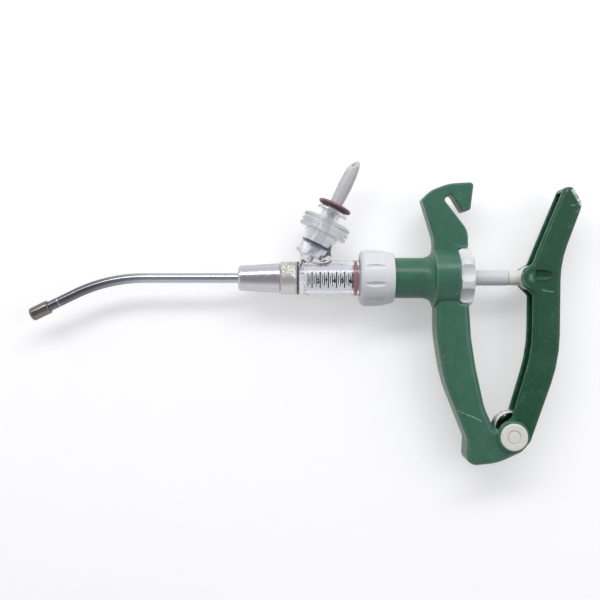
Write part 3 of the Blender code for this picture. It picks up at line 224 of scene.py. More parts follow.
# %% Table, sky and lamps
def table_material():
    material, tree, shader = new_material("table")
    grain = noise(tree, object_place(tree), 60.0, 5.0)
    colour = mixed(tree, grain, rgb(0.73, 0.73, 0.73), rgb(0.75, 0.75, 0.75))
    plug(tree, shader.inputs["Base Color"], colour)
    shader.inputs["Roughness"].default_value = 0.9
    shader.inputs["Specular IOR Level"].default_value = 0.1
    # Seen straight, in metal or through clear plastic, the table is lifted to a paper white.
    ray = add_node(tree, "LightPath").outputs
    seen = maths(tree, "MAXIMUM", ray["Is Camera Ray"], ray["Is Glossy Ray"])
    seen = maths(tree, "MAXIMUM", seen, ray["Is Transmission Ray"])
    shader.inputs["Emission Color"].default_value = rgb(1.0, 1.0, 1.0)
    plug(tree, shader.inputs["Emission Strength"], times(tree, seen, 0.36))
    return material


table = bmesh.new()
bmesh.ops.create_grid(table, x_segments=8, y_segments=8, size=2.0)
table_mesh = bpy.data.meshes.new("table")
table.to_mesh(table_mesh)
table.free()
table_mesh.materials.append(table_material())
table_object = in_scene("table", table_mesh)

world = bpy.data.worlds.new("studio")
world.use_nodes = True
bpy.context.scene.world = world
sky = world.node_tree
background = sky.nodes["Background"]
axes = split(sky, add_node(sky, "TexCoord").outputs["Generated"])
overhead = ranged(sky, axes["Z"], 0.35, 0.95)
sky_colour = mixed(sky, overhead, rgb(0.98, 0.98, 1.0), rgb(0.38, 0.38, 0.42))
dim_side = ranged(sky, axes["Y"], -0.75, 0.35, 0.34, 1.0)
in_metal = ranged(sky, axes["Y"], -0.75, 0.35, 1.05, 0.95)
ray = add_node(sky, "LightPath").outputs
extra = times(sky, ray["Is Glossy Ray"], maths(sky, "SUBTRACT", in_metal, dim_side))
strength = maths(sky, "ADD", dim_side, extra)
through = times(sky, ray["Is Transmission Ray"], 0.55)
lit_colour = mixed(sky, through, sky_colour, rgb(0.95, 0.95, 0.99))
# The backdrop that the camera sees is plain and pale all round, whatever lights the tool.
plug(sky, background.inputs["Color"], mixed(sky, ray["Is Camera Ray"], lit_colour, rgb(0.93, 0.93, 0.94)))
plug(sky, background.inputs["Strength"], maths(sky, "MAXIMUM", strength, ray["Is Camera Ray"]))


def lamp(name, place, aim, size, power):
    data = bpy.data.lights.new(name, "AREA")
    data.shape = "RECTANGLE"
    data.size, data.size_y = size
    data.energy = power
    made = in_scene(name, data)
    made.location = place
    made.rotation_euler = (Vector(place) - Vector(aim)).to_track_quat("Z", "Y").to_euler()


lamp("key", (-0.1, 0.6, 0.66), (0, 0, 0), (1.3, 0.18), 4.9)
lamp("fill", (0.55, 0.1, 0.6), (0, 0, 0), (0.4, 0.4), 0.8)

# %% [markdown]
# ## Shared effects
# Three things happen to every surface of a hand tool. Edges rub lighter, dirt and colour settle
# unevenly, and fine scratches cross the broad faces. Each is a mask built from noise on Object
# coordinates, so the pattern stays on the piece as it moves. Inner corners are also darkened with
# the dirt colour, which is painted shade. One node group holds them all, and each material sets
# how strong they are.

# %% The wear group
# The Dirt strength and Dirt Colour serve both real dirt and the painted shade in inner corners.
COLOURS = ("Colour", "Edge Colour", "Dirt Colour")
STRENGTHS = ("Roughness", "Edge Wear", "Dirt", "Scratches", "Mottle")


def wear_group():
    """The look of a used surface from its plain colour and a few strengths, and where it is rubbed, with
    painted shade in its inner corners.
    """
    group = bpy.data.node_groups.new("used surface", "ShaderNodeTree")
    for side, names in (("INPUT", COLOURS + STRENGTHS), ("OUTPUT", ("Colour", "Roughness", "Height", "Rub"))):
        for name in names:
            kind = "NodeSocketColor" if name in COLOURS else "NodeSocketFloat"
            group.interface.new_socket(name, in_out=side, socket_type=kind)
    given = group.nodes.new("NodeGroupInput").outputs
    out = group.nodes.new("NodeGroupOutput")
    where = object_place(group)

    patches = noise(group, where, 55.0, 6.0, 0.65)
    specks = noise(group, where, 420.0, 4.0, 0.7)
    grain = noise(group, where, 1500.0, 2.0)

    # Each scratch layer is noise drawn out long one way and cut to its thinnest crests.
    lines = 0.0
    for turn, scale in ((0.75, 1380.0), (-0.9, 1860.0), (1.9, 1020.0)):
        drawn_out = add_node(
            group, "Mapping", {"vector_type": "TEXTURE"},
            Vector=where, Rotation=(0.2, 0.3, turn), Scale=(1.0, 28.0, 3.3),
        ).outputs[0]
        crests = ranged(group, noise(group, drawn_out, scale, 1.0), 0.68, 0.73)
        lines = maths(group, "MAXIMUM", lines, crests)
    lines = times(group, lines, ranged(group, patches, 0.52, 0.60), given["Scratches"])

    # Short rays cast into the piece find its outer edges, and rays cast out of it find its corners, which are
    # darkened with the dirt colour as painted shade.
    look = {"samples": 6, "only_local": True}
    inward = add_node(group, "AmbientOcclusion", look | {"inside": True}, Distance=0.0019).outputs["AO"]
    outward = add_node(group, "AmbientOcclusion", look, Distance=0.0025).outputs["AO"]
    speckle = ranged(group, specks, 0.3, 0.7, -0.16, 0.16)
    rub = maths(group, "ADD", maths(group, "SUBTRACT", 1.0, inward), speckle)
    edge = times(group, ranged(group, rub, 0.16, 0.52), given["Edge Wear"])
    # Inner corners that the outward rays find are darkened below, which is painted shade.
    painted_corner_shade = ranged(group, outward, 0.75, 0.3)
    settled = times(group, ranged(group, patches, 0.50, 0.72), ranged(group, specks, 0.35, 0.65))
    # Real dirt settles in patches, and the corner term adds painted shade in the same dirt colour.
    dirt_and_corner_shade = times(group, maths(group, "ADD", settled, painted_corner_shade), given["Dirt"])

    mottle = times(group, ranged(group, patches, 0.3, 0.7, -1.0, 1.0), given["Mottle"])
    base = mixed(group, maths(group, "ABSOLUTE", mottle), given["Colour"], given["Edge Colour"])
    base = mixed(group, maths(group, "MINIMUM", dirt_and_corner_shade, 0.9), base, given["Dirt Colour"])
    bared = maths(group, "MAXIMUM", edge, times(group, lines, 0.6))
    plug(group, out.inputs["Colour"], mixed(group, bared, base, given["Edge Colour"]))

    uneven = ranged(group, specks, 0.3, 0.7, -0.05, 0.05)
    rough = maths(group, "ADD", given["Roughness"], uneven)
    rough = maths(group, "ADD", rough, times(group, maths(group, "ADD", dirt_and_corner_shade, lines), 0.15))
    plug(group, out.inputs["Roughness"], maths(group, "MAXIMUM", rough, 0.03))
    height = maths(group, "SUBTRACT", times(group, grain, 0.4), lines)
    height = maths(group, "ADD", height, times(group, patches, 0.8))
    plug(group, out.inputs["Height"], height)
    plug(group, out.inputs["Rub"], rub)
    return group


USED = wear_group()
print("node group:", USED.name, len(USED.nodes), "nodes")

# %% [markdown]
# ## Finishes
# A material here is one Principled shader fed by that group. Numbers that are the same all over
# the piece, such as metallic or transmission, stay on the shader itself.

# %% Making a finish
def finish(name, colour, roughness, edge, dirt, strengths, bump=0.15, **own):
    """A used finish: strengths are its edge wear, dirt with painted shade in corners, scratches and mottle,
    in that order.

    Extra names are the shader's own sockets."""
    material, tree, shader = new_material(name)
    used = tree.nodes.new("ShaderNodeGroup")
    used.node_tree = USED
    for key, value in zip(COLOURS + STRENGTHS, (colour, edge, dirt, roughness, *strengths)):
        used.inputs[key].default_value = value
    for key, value in own.items():
        shader.inputs[key.replace("_", " ")].default_value = value
    relief = add_node(tree, "Bump", Height=used.outputs["Height"], Strength=bump, Distance=0.2 * MM)
    plug(tree, shader.inputs["Base Color"], used.outputs["Colour"])
    plug(tree, shader.inputs["Roughness"], used.outputs["Roughness"])
    plug(tree, shader.inputs["Normal"], relief.outputs[0])
    return material


# %% Every finish on the tool
body_green = finish(
    "green nylon", rgb(0.034, 0.127, 0.078), 0.33, rgb(0.17, 0.33, 0.26), rgb(0.02, 0.06, 0.04),
    (0.5, 0.3, 0.5, 0.09), bump=0.12, Specular_IOR_Level=0.42,
)
LEVER_GREEN = rgb(0.009, 0.066, 0.029)
lever_green = finish(
    "dark green nylon", LEVER_GREEN, 0.36, rgb(0.16, 0.34, 0.25), rgb(0.01, 0.03, 0.02),
    (0.7, 0.3, 0.5, 0.07), bump=0.12, Specular_IOR_Level=0.32,
)
pale_grey = finish(
    "pale grey plastic", rgb(0.645, 0.655, 0.675), 0.38, rgb(0.78, 0.785, 0.8), rgb(0.42, 0.42, 0.42),
    (0.25, 0.22, 0.2, 0.2),
)
rod_grey = finish(
    "grey acetal rod", rgb(0.60, 0.61, 0.62), 0.42, rgb(0.72, 0.72, 0.73), rgb(0.40, 0.38, 0.36),
    (0.2, 0.3, 0.3, 0.15),
)
cream = finish(
    "cream plastic", rgb(0.70, 0.685, 0.62), 0.4, rgb(0.8, 0.79, 0.74), rgb(0.36, 0.29, 0.22),
    (0.2, 0.3, 0.25, 0.15),
)
clear = finish(
    "clear plastic", rgb(0.945, 0.945, 0.98), 0.02, rgb(0.98, 0.98, 0.99), rgb(0.82, 0.82, 0.87),
    (0.2, 0.15, 0.25, 0.04), bump=0.008, Transmission_Weight=0.95, IOR=1.49,
)
clear_ring = finish(
    "cloudy clear plastic", rgb(0.93, 0.935, 0.975), 0.03, rgb(0.98, 0.98, 0.99), rgb(0.78, 0.78, 0.84),
    (0.3, 0.2, 0.25, 0.05), bump=0.008, Transmission_Weight=0.82, IOR=1.49,
)
steel = finish(
    "polished steel", rgb(0.44, 0.44, 0.49), 0.17, rgb(0.62, 0.62, 0.66), rgb(0.2, 0.19, 0.2),
    (0.1, 0.25, 0.4, 0.15), bump=0.06, Metallic=1.0,
)
brown_steel = finish(
    "heat-browned steel", rgb(0.078, 0.078, 0.066), 0.22, rgb(0.26, 0.255, 0.235), rgb(0.03, 0.028, 0.022),
    (0.6, 0.45, 0.4, 0.3), Metallic=1.0,
)
satin = finish(
    "satin metal", rgb(0.54, 0.53, 0.565), 0.24, rgb(0.72, 0.71, 0.74), rgb(0.26, 0.25, 0.26),
    (0.3, 0.25, 0.5, 0.2), bump=0.08, Metallic=1.0,
)
spring_steel = finish(
    "spring steel", rgb(0.70, 0.70, 0.71), 0.42, rgb(0.80, 0.80, 0.80), rgb(0.30, 0.28, 0.25),
    (0.2, 0.15, 0.3, 0.2), Metallic=1.0,
)
black_rubber = finish(
    "black rubber", rgb(0.016, 0.016, 0.02), 0.5, rgb(0.07, 0.07, 0.08), rgb(0.1, 0.09, 0.08),
    (0.3, 0.2, 0.1, 0.2), bump=0.3,
)
navy_rubber = finish(
    "navy rubber", rgb(0.012, 0.016, 0.035), 0.35, rgb(0.06, 0.07, 0.12), rgb(0.05, 0.05, 0.06),
    (0.2, 0.2, 0.1, 0.2), bump=0.2,
)
# The pink edge colour, laid on strongly, is partly rubbed rubber and partly a painted highlight along the
# washer's lit rim.
maroon_rubber = finish(
    "maroon rubber", rgb(0.062, 0.032, 0.046), 0.5, rgb(0.46, 0.20, 0.24), rgb(0.022, 0.018, 0.022),
    (0.75, 0.35, 0.2, 0.12), bump=0.4,
)
red_rubber = finish(
    "red rubber", rgb(0.50, 0.12, 0.14), 0.4, rgb(0.62, 0.22, 0.24), rgb(0.16, 0.02, 0.03),
    (0.3, 0.2, 0.1, 0.2), bump=0.2,
)
white_acetal = finish(
    "white acetal", rgb(0.72, 0.72, 0.72), 0.4, rgb(0.8, 0.8, 0.8), rgb(0.5, 0.48, 0.45),
    (0.2, 0.2, 0.2, 0.1),
)
spike_grey = finish(
    "grey spike plastic", rgb(0.47, 0.47, 0.485), 0.34, rgb(0.66, 0.66, 0.67), rgb(0.2, 0.2, 0.2),
    (0.4, 0.35, 0.5, 0.25), bump=0.25,
)
ink = finish(
    "black ink", rgb(0.008, 0.008, 0.010), 0.5, rgb(0.03, 0.03, 0.03), rgb(0.1, 0.1, 0.1),
    (0.0, 0.1, 0.3, 0.1), bump=0.05,
)
tube_steel = steel.copy()
tube_steel.name = "tarnished steel"


# %% Tarnish, and marks of one blow or one scrape
def overlay(material, share, colour, blend="MIX"):
    """Lays a colour over a finish where share is high."""
    tree = material.node_tree
    base = tree.nodes["Principled BSDF"].inputs["Base Color"]
    plug(tree, base, mixed(tree, share, base.links[0].from_socket, colour, blend))


def tarnish(material, clean, dull, shade):
    """Darkens a finish along X, from a clean end to a dull one."""
    tree = material.node_tree
    film = ranged(tree, split(tree, object_place(tree))["X"], clean, dull, 1.0, shade)
    grey = add_node(tree, "CombineColor", Red=film, Green=film, Blue=film).outputs[0]
    overlay(material, 1.0, grey, "MULTIPLY")


def scuff(material, centre, reach, colour=rgb(0.72, 0.74, 0.72)):
    """Rubs the edges near one point down to bare, whitened plastic."""
    tree = material.node_tree
    used = next(node for node in tree.nodes if node.type == "GROUP")
    near = ranged(tree, distance_from(tree, centre), reach, reach * 0.3)
    ragged = maths(tree, "SUBTRACT", noise(tree, object_place(tree), 600.0, 4.0), 0.5)
    worn = maths(tree, "ADD", used.outputs["Rub"], times(tree, ragged, 0.9))
    overlay(material, times(tree, near, ranged(tree, worn, 0.17, 0.33)), colour)


def keep_plain(material, centre, reach, colour):
    """Keeps the plain colour near one point, where a thin wall would pass for a rubbed edge."""
    tree = material.node_tree
    overlay(material, ranged(tree, distance_from(tree, centre), reach, reach * 0.75), colour)


def scrape(material, start, end, width, colour, strength):
    """One long thin scratch from start to end, broken up by noise."""
    tree = material.node_tree
    along = end - start
    where = object_place(tree)
    settled = add_node(
        tree, "Mapping", {"vector_type": "TEXTURE"}, Vector=where, Location=start,
        Rotation=(0, 0, math.atan2(along.y, along.x)),
    ).outputs[0]
    axes = split(tree, settled)
    wobble = times(tree, maths(tree, "SUBTRACT", noise(tree, where, 180.0, 2.0), 0.5), 3 * MM)
    aside = maths(tree, "ABSOLUTE", maths(tree, "ADD", axes["Y"], wobble))
    line = ranged(tree, aside, width, width * 0.3)
    begun = ranged(tree, axes["X"], 0.0, MM)
    not_over = ranged(tree, axes["X"], along.length, along.length - MM)
    near_face = ranged(tree, split(tree, where)["Z"], start.z - 4 * MM, start.z)
    patchy = ranged(tree, noise(tree, where, 700.0, 3.0), 0.36, 0.5)
    overlay(material, times(tree, line, begun, not_over, near_face, patchy, strength), colour)


tarnish(tube_steel, pump_zero.x - 80 * MM, pump_zero.x - 130 * MM, 0.33)
WHITENED = rgb(0.80, 0.82, 0.80)
SCARRED = rgb(0.6, 0.68, 0.64)
for side in (1, -1):
    keep_plain(lever_green, PIVOT @ Vector((19.5, 94.4, side * 7.5)), 8.5 * MM, LEVER_GREEN)
scuff(lever_green, PIVOT @ Vector((41.5, 140.0, 6.0)), 14 * MM)
scuff(body_green, PUMP @ Vector((79.9, -47.5, 8.0)), 7 * MM, SCARRED)
scuff(body_green, PUMP @ Vector((89.0, -78.0, 8.0)), 5 * MM, SCARRED)
for material, place, start, end, width, colour, strength in (
    (lever_green, PIVOT, (36.4, 146.4, 7.0), (41.6, 136.2, 7.0), 2.3, WHITENED, 0.95),
    (body_green, PUMP, (89.5, -77.5, 11.0), (107.5, -84.0, 11.0), 0.4, rgb(0.45, 0.56, 0.5), 0.6),
    (lever_green, PIVOT, (17.0, 86.0, 8.6), (25.0, 85.2, 8.6), 0.5, rgb(0.3, 0.5, 0.4), 0.6),
):
    scrape(material, place @ Vector(start), place @ Vector(end), width * MM, colour, strength)
print("finishes:", len(bpy.data.materials))

# %% [markdown]
# ### Cast nickel
# The collar behind the cone is a small sand casting with a thin nickel plate. Up close it glitters
# in tiny facets on one side and is rubbed smooth on the other. A Voronoi texture makes the facets,
# and a slow noise with a slope across Y says where they have been polished away. The facets'
# bright and dark colours are painted glints and painted shade, kept to the side toward the key lamp.

# %% The casting's finish
def cast_nickel():
    material, tree, shader = new_material("cast nickel")
    shader.inputs["Metallic"].default_value = 1.0
    where = object_place(tree)
    facets = add_node(tree, "TexVoronoi", Vector=where, Scale=1900.0)
    low, high = pump_zero.y - 7 * MM, pump_zero.y + 6 * MM
    # Painted glints: the bright and dark facet colours are kept to the +Y side, toward the key lamp, and the
    # other side is plain rubbed metal.
    side = ranged(tree, split(tree, where)["Y"], low, high, 0.32, -0.22)
    worn = ranged(tree, maths(tree, "ADD", noise(tree, where, 140.0, 3.0), side), 0.42, 0.62)
    shade = add_node(tree, "SeparateColor", Color=facets.outputs["Color"]).outputs[0]
    painted_glints = mixed(tree, shade, rgb(0.26, 0.245, 0.22), rgb(0.95, 0.92, 0.86))
    colour = mixed(tree, worn, painted_glints, rgb(0.60, 0.585, 0.555))
    plug(tree, shader.inputs["Base Color"], colour)
    plug(tree, shader.inputs["Roughness"], ranged(tree, shade, 0.0, 1.0, 0.5, 0.3))
    height = times(tree, facets.outputs["Distance"], maths(tree, "SUBTRACT", 1.0, worn))
    relief = add_node(tree, "Bump", Height=height, Strength=0.9, Distance=0.3 * MM)
    plug(tree, shader.inputs["Normal"], relief.outputs[0])
    return material


nickel = cast_nickel()

# %% [markdown]
# ## Tools for shapes
# Most pieces of a pump are turned, so the first tool spins an outline round its axis. Its corners
# are rounded before the spin by bevelling single vertices, which is cheaper and cleaner than
# bevelling the finished ring. The handle and the lever are moulded plates: a flat face with rounded
# corners, pulled to its thickness, with its rim bevelled.

# %% Rounding corners, turning and plates
def round_corners(shape, corners, step=7.0):
    """Rounds vertices of a wire or a flat face. Corners are (vertex, radius) pairs."""
    for vert, radius in corners:
        if not radius:
            continue
        first, second = (edge.other_vert(vert).co - vert.co for edge in vert.link_edges)
        half = first.angle(second) / 2
        turn = 180 - 2 * math.degrees(half)
        reach = min(radius / math.tan(half), 0.98 * first.length, 0.98 * second.length)
        radius = reach * math.tan(half)
        middle = vert.co + (first.normalized() + second.normalized()).normalized() * radius / math.sin(half)
        cut = bmesh.ops.bevel(
            shape, geom=[vert], offset=reach, segments=max(3, round(turn / step)), profile=0.5,
            affect="VERTICES", material=-1, clamp_overlap=False,
        )
        for new in cut["verts"]:
            new.co = middle + (new.co - middle).normalized() * radius


def turned(outline, segments=96):
    """Spins an outline of (radius, height[, corner radius]) points round Z.

    The outline closes on itself unless it starts and ends on the axis."""
    shape = bmesh.new()
    verts = [shape.verts.new((corner[0], 0, corner[1])) for corner in outline]
    pairs = list(zip(verts, verts[1:]))
    if outline[0][0] > 0 or outline[-1][0] > 0:
        pairs.append((verts[-1], verts[0]))
    for pair in pairs:
        shape.edges.new(pair)
    round_corners(shape, [(v, c[2] if len(c) > 2 else 0) for v, c in zip(verts, outline)], 15.0)
    bmesh.ops.spin(
        shape, geom=shape.verts[:] + shape.edges[:], cent=(0, 0, 0), axis=(0, 0, 1),
        angle=2 * math.pi, steps=segments, use_merge=True,
    )
    bmesh.ops.remove_doubles(shape, verts=shape.verts, dist=0.002)
    bmesh.ops.recalc_face_normals(shape, faces=shape.faces)
    return shape


def disc(radius, low, high, segments=64):
    return turned([(0, high), (radius, high), (radius, low), (0, low)], segments)


def ring(outer, inner, low, high, soft, inner_soft=0.0, segments=96):
    """A turned ring between two radii and two heights, with its outer and inner corners rounded."""
    return turned([
        (outer, high, soft), (outer, low, soft), (inner, low, inner_soft), (inner, high, inner_soft),
    ], segments)


def only(kind, geometry):
    return [item for item in geometry if isinstance(item, kind)]


def plate(corners, thickness, edge=0.0, steps=5):
    """A flat piece through corners (x, y, radius), centred on its own plane, with a rounded rim."""
    shape = bmesh.new()
    verts = [shape.verts.new((x, y, -thickness / 2)) for x, y, _ in corners]
    shape.faces.new(verts)
    round_corners(shape, [(v, corner[2]) for v, corner in zip(verts, corners)])
    pulled = bmesh.ops.extrude_face_region(shape, geom=shape.faces[:])
    moved = only(bmesh.types.BMVert, pulled["geom"])
    bmesh.ops.translate(shape, verts=moved, vec=(0, 0, thickness))
    bmesh.ops.recalc_face_normals(shape, faces=shape.faces)
    if edge:
        rims = [e for e in shape.edges if abs(e.verts[0].co.z - e.verts[1].co.z) < 0.001]
        bmesh.ops.bevel(
            shape, geom=rims, offset=edge, segments=steps, profile=0.5, affect="EDGES",
            material=-1, clamp_overlap=False,
        )
    return shape


def ends_of(edges):
    """The vertices of some edges, each once and always in the same order."""
    return list(dict.fromkeys(vert for edge in edges for vert in edge.verts))


def pull(shape, edges, vec, cuts=1):
    """Pulls a loop of edges along, in equal lengths, and gives back the last loop."""
    for _ in range(cuts):
        grown = bmesh.ops.extrude_edge_only(shape, edges=edges)
        verts = only(bmesh.types.BMVert, grown["geom"])
        bmesh.ops.translate(shape, verts=verts, vec=Vector(vec) / cuts)
        new_edges = only(bmesh.types.BMEdge, grown["geom"])
        edges = [e for e in new_edges if all(v in verts for v in e.verts)]
    return edges


def placed(shape, matrix):
    bmesh.ops.transform(shape, matrix=matrix, verts=shape.verts)
    return shape


def block(x, y, z):
    """A plain box of that size, centred."""
    shape = bmesh.new()
    bmesh.ops.create_cube(shape, size=1.0, matrix=Matrix.Diagonal((x, y, z, 1)))
    return shape


def together(*shapes):
    """One bmesh that holds several, for cutters that don't touch each other."""
    whole = bmesh.new()
    for shape in shapes:
        mesh = bpy.data.meshes.new("part of a set")
        shape.to_mesh(mesh)
        whole.from_mesh(mesh)
        bpy.data.meshes.remove(mesh)
    return whole


# %% [markdown]
# Holes and joins are Boolean modifiers, run at once on throwaway objects. The exact solver keeps
# the result closed, which clear plastic needs: light has to know when it is inside the wall.

# %% Booleans on bmeshes
def throwaway(shape):
    mesh = bpy.data.meshes.new("throwaway")
    shape.to_mesh(mesh)
    return in_scene("throwaway", mesh)


def combined(shape, *others, how="DIFFERENCE"):
    """Cuts the others out of a shape, or joins or crosses them with it, one after another."""
    for other in others:
        base, tool = throwaway(shape), throwaway(other)
        modifier = base.modifiers.new("combine", "BOOLEAN")
        modifier.operation, modifier.object, modifier.solver = how, tool, "EXACT"
        bpy.context.view_layer.update()
        graph = bpy.context.evaluated_depsgraph_get()
        mesh = bpy.data.meshes.new_from_object(base.evaluated_get(graph))
        shape = bmesh.new()
        shape.from_mesh(mesh)
        bmesh.ops.dissolve_limit(shape, angle_limit=math.radians(0.3), verts=shape.verts, edges=shape.edges)
        for made in (base, tool):
            used = made.data
            bpy.data.objects.remove(made)
            bpy.data.meshes.remove(used)
        bpy.data.meshes.remove(mesh)
    return shape


# %% [markdown]
# A finished shape becomes an object at the origin with its place in its mesh. It rides on the body
# of the CAD node that it stands for, so it moves just as the solid would. A narrow bevel catches
# the light along every edge, as moulded and turned edges do, and weighted normals keep the faces
# beside it flat.

# %% From shape to piece
def piece(name, shape, node, material, place=PUMP, soft=0.0, smooth=35, stands=True, rides=True):
    """Makes a shape the visible piece of a node.

    soft is the bevel in millimetres and smooth the angle up to which edges are shaded round. A piece
    that doesn't stand for its node is a trim on it, and one that doesn't ride is left on no body."""
    name = name.replace(" ", "_")
    placed(shape, place)
    bmesh.ops.remove_doubles(shape, verts=shape.verts, dist=2e-6)
    mesh = bpy.data.meshes.new(name)
    shape.to_mesh(mesh)
    shape.free()
    mesh.shade_smooth()
    mesh.set_sharp_from_angle(angle=math.radians(smooth))
    mesh.materials.clear()
    mesh.materials.append(material)
    made = in_scene(name, mesh)
    if soft:
        bevel = made.modifiers.new("soft edges", "BEVEL")
        bevel.width = soft * MM
        bevel.segments = 3
        bevel.limit_method = "ANGLE"
        bevel.angle_limit = math.radians(smooth)
        flat = made.modifiers.new("flat faces", "WEIGHTED_NORMAL")
        flat.keep_sharp = True
    body = frame["nodes"][node]["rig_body"]
    if rides:
        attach(made, body)
    if stands:
        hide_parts(node)
    print(f"{name}: {len(mesh.polygons)} faces, on {body if rides else 'two bodies'}")
    return made


# %% [markdown]
# ## The green handle
# The handle is one nylon moulding: a tube that the pump screws into, a hub behind it, a slotted
# hook to hang the tool by, and a grip with an open channel down its back. It is made the way the
# mould is: plain forms are joined, then the hollows are cut out of the whole.

# %% Joining the handle's forms
SEAT = 93.6  # the hub's face that the knob turns on
HANDLE = 96.1  # the plane that grip and hook are drawn from
HUB, TUBE = 17.6, 12.1  # radii
flare = [
    (TUBE + (HUB - TUBE) * (1 - math.cos(a)), 72.0 + 7.5 * math.sin(a))
    for a in (math.radians(90 - 7.5 * i) for i in range(13))
]
tube_form = turned(
    [(0, SEAT), (HUB, SEAT)] + flare
    + [(TUBE, 55.7), (12.8, 55.7, 0.3), (12.8, 45.5, 0.4), (0, 45.5)],
    128,
)
placed(tube_form, LENGTHWAYS)


def at_handle(corners):
    return [(HANDLE + x, y, radius) for x, y, radius in corners]


hook_form = plate(at_handle([
    (-16.5, -4, 0), (-16.5, 23, 24), (-23.8, 46.6, 1.5), (-18.6, 51.8, 12), (-8.0, 56.0, 26),
    (7.1, 56.8, 2.2), (5.0, 40.4, 1.6), (0.4, 39.2, 1.4), (-6.2, 49.8, 1.6), (-11.0, 46.8, 2.0),
    (3.6, 28.0, 13), (3.8, -4, 0),
]), 13.0, 1.35, 4)
grip_form = plate(at_handle([
    (-15.6, 4, 0), (-15.6, -34, 70), (-11.4, -60.5, 90), (2.6, -95.8, 6), (1.9, -108.5, 5),
    (7.0, -110.9, 5), (20.0, -109.6, 30), (37.4, -102.0, 8.4), (38.9, -86.0, 8.4),
    (25.0, -86.5, 5), (18.6, -89.4, 1.5), (12.8, -77.0, 30), (7.6, -53, 60), (5.0, -36, 40),
    (3.8, -18, 20), (3.8, 4, 0),
]), 22.4, 4.0, 6)
at_pivot = shifted(*PIVOT_AT)
boss_form = placed(disc(9.2, -12.3, 12.3), at_pivot)
handle = combined(tube_form, hook_form, grip_form, boss_form, how="UNION")
print("joined handle:", len(handle.faces), "faces")

# %% Cutting the handle's hollows
bore = placed(disc(8.0, 44.5, 94.0), LENGTHWAYS)
recess = placed(disc(19.0, SEAT, 122.0, 96), LENGTHWAYS)
BACK = 4.0  # the wall behind the channel
channel = plate(at_handle([
    (-15.6 + BACK, -27, 4), (-15.6 + BACK, -34, 66), (-11.4 + BACK, -60.5, 86), (2.6 + BACK, -94, 4),
    (10.0 + BACK, -97, 4), (26.0, -97, 0), (34.0, -80, 0), (20.0, -27, 0),
]), 16.0)
clevis = placed(plate([
    (-11.4, -4.6, 6), (-4.0, -11.4, 9), (20.0, -13.0, 0), (20.0, 16.0, 0), (-6.0, 16.0, 0),
], 18.2), at_pivot)
pin_hole = placed(disc(5.5, -22, 22), at_pivot)
handle = combined(handle, bore, recess, channel, clevis, pin_hole)
piece("handle", handle, "body_handle", body_green, soft=0.6)

# %% [markdown]
# ## The lever
# The lever is a darker moulding, hollow up its inner side, with two ears that hold the rod's pin.
# A thumbnail hollow beside the pin saves plastic where each ear is thick. All of it is drawn from
# the pivot, because that is the only point of the lever that never moves.

# %% Lever
LEVER_BACK = 3.2  # the wall behind its hollow
EAR_FACE = 8.8  # from the middle plane
EYE_X, EYE_Y, _ = EYE_FROM_PIVOT
PIN = shifted(*EYE_FROM_PIVOT)
lever = plate([
    (31.3, 146.6, 2.8), (15.8, 109.6, 40), (12.6, 101.6, 4), (6.8, 98.4, 3), (6.8, 89.0, 3),
    (12.8, 83, 3), (12.4, 50, 90), (0.4, 10.0, 6), (-8.2, 5.5, 8), (-6.5, -8.6, 8),
    (9.8, -8.4, 9.5), (28.6, 44.7, 90), (29.4, 102.6, 60), (42.3, 137.0, 7), (36.2, 147.8, 3.6),
], 2 * EAR_FACE, 2.6, 5)
ears = placed(disc(6.1, -EAR_FACE, EAR_FACE), PIN)
low_hollow = plate([
    (-20, 106, 0), (-20, -20, 0), (24, -20, 0), (24, 13.4, 0), (18.6 - LEVER_BACK, 14.8, 1.5),
    (28.6 - LEVER_BACK, 44.7, 86), (29.4 - LEVER_BACK, 98.0, 50), (26.6, 106, 4),
], 11.8)
high_hollow = plate([
    (4, 100, 0), (25.4, 100, 0), (25.0, 118, 30), (36.2, 141.8, 3), (20, 149, 0), (4, 120, 0),
], 10.8)
slot_turn = Matrix.Rotation(math.atan2(-EYE_X, EYE_Y), 4, "Z")
socket_slot = placed(
    plate([(-1.8, -2.75, 1.75), (1.8, -2.75, 1.75), (1.8, 2.75, 1.75), (-1.8, 2.75, 1.75)], 15.0),
    PIN @ slot_turn,
)
thumbnails = []
for side in (1, -1):
    scoop = turned([
        (0, 11.0), (1.6, 10.6, 0.6), (3.1, 8.6, 3), (3.9, 5.0, 4), (4.0, 0.4, 0.3), (3.7, 0, 0.2), (0, 0),
    ], 64)
    thumbnails.append(placed(scoop, PIN @ shifted(1.95, 1.0, side * (EAR_FACE + 1.5)) @ LENGTHWAYS))
bush_hole = disc(4.8, -18, 18)
lever = combined(lever, ears, how="UNION")
lever = combined(lever, low_hollow, high_hollow, socket_slot, together(*thumbnails), bush_hole)
piece("lever arm", lever, "lever", lever_green, PIVOT, soft=0.5)

# %% Pin caps
for name, node, flip in (("near cap", "pivot_cap_near", 0), ("far cap", "pivot_cap_far", 180)):
    cap = turned([
        (0, 14.05), (3.45, 14.05, 0.2), (3.6, 13.65, 0.1), (3.95, 13.65, 0.1), (4.1, 14.2, 0.2),
        (8.0, 14.2, 0.8), (8.0, 12.6, 0.15), (5.2, 12.6), (5.2, 9.4), (3.3, 9.4), (3.3, 12.9), (0, 12.9),
    ])
    piece(name, cap, node, cream, PIVOT @ tilted(flip, "X"))

# %% [markdown]
# ## The dose knob and the union nut
# Both are pale grey mouldings that a wet hand has to turn. The knob has eight scallops cut by
# cylinders; the nut has ten lens-shaped grooves, the marks of a ball-ended cutter in its mould.

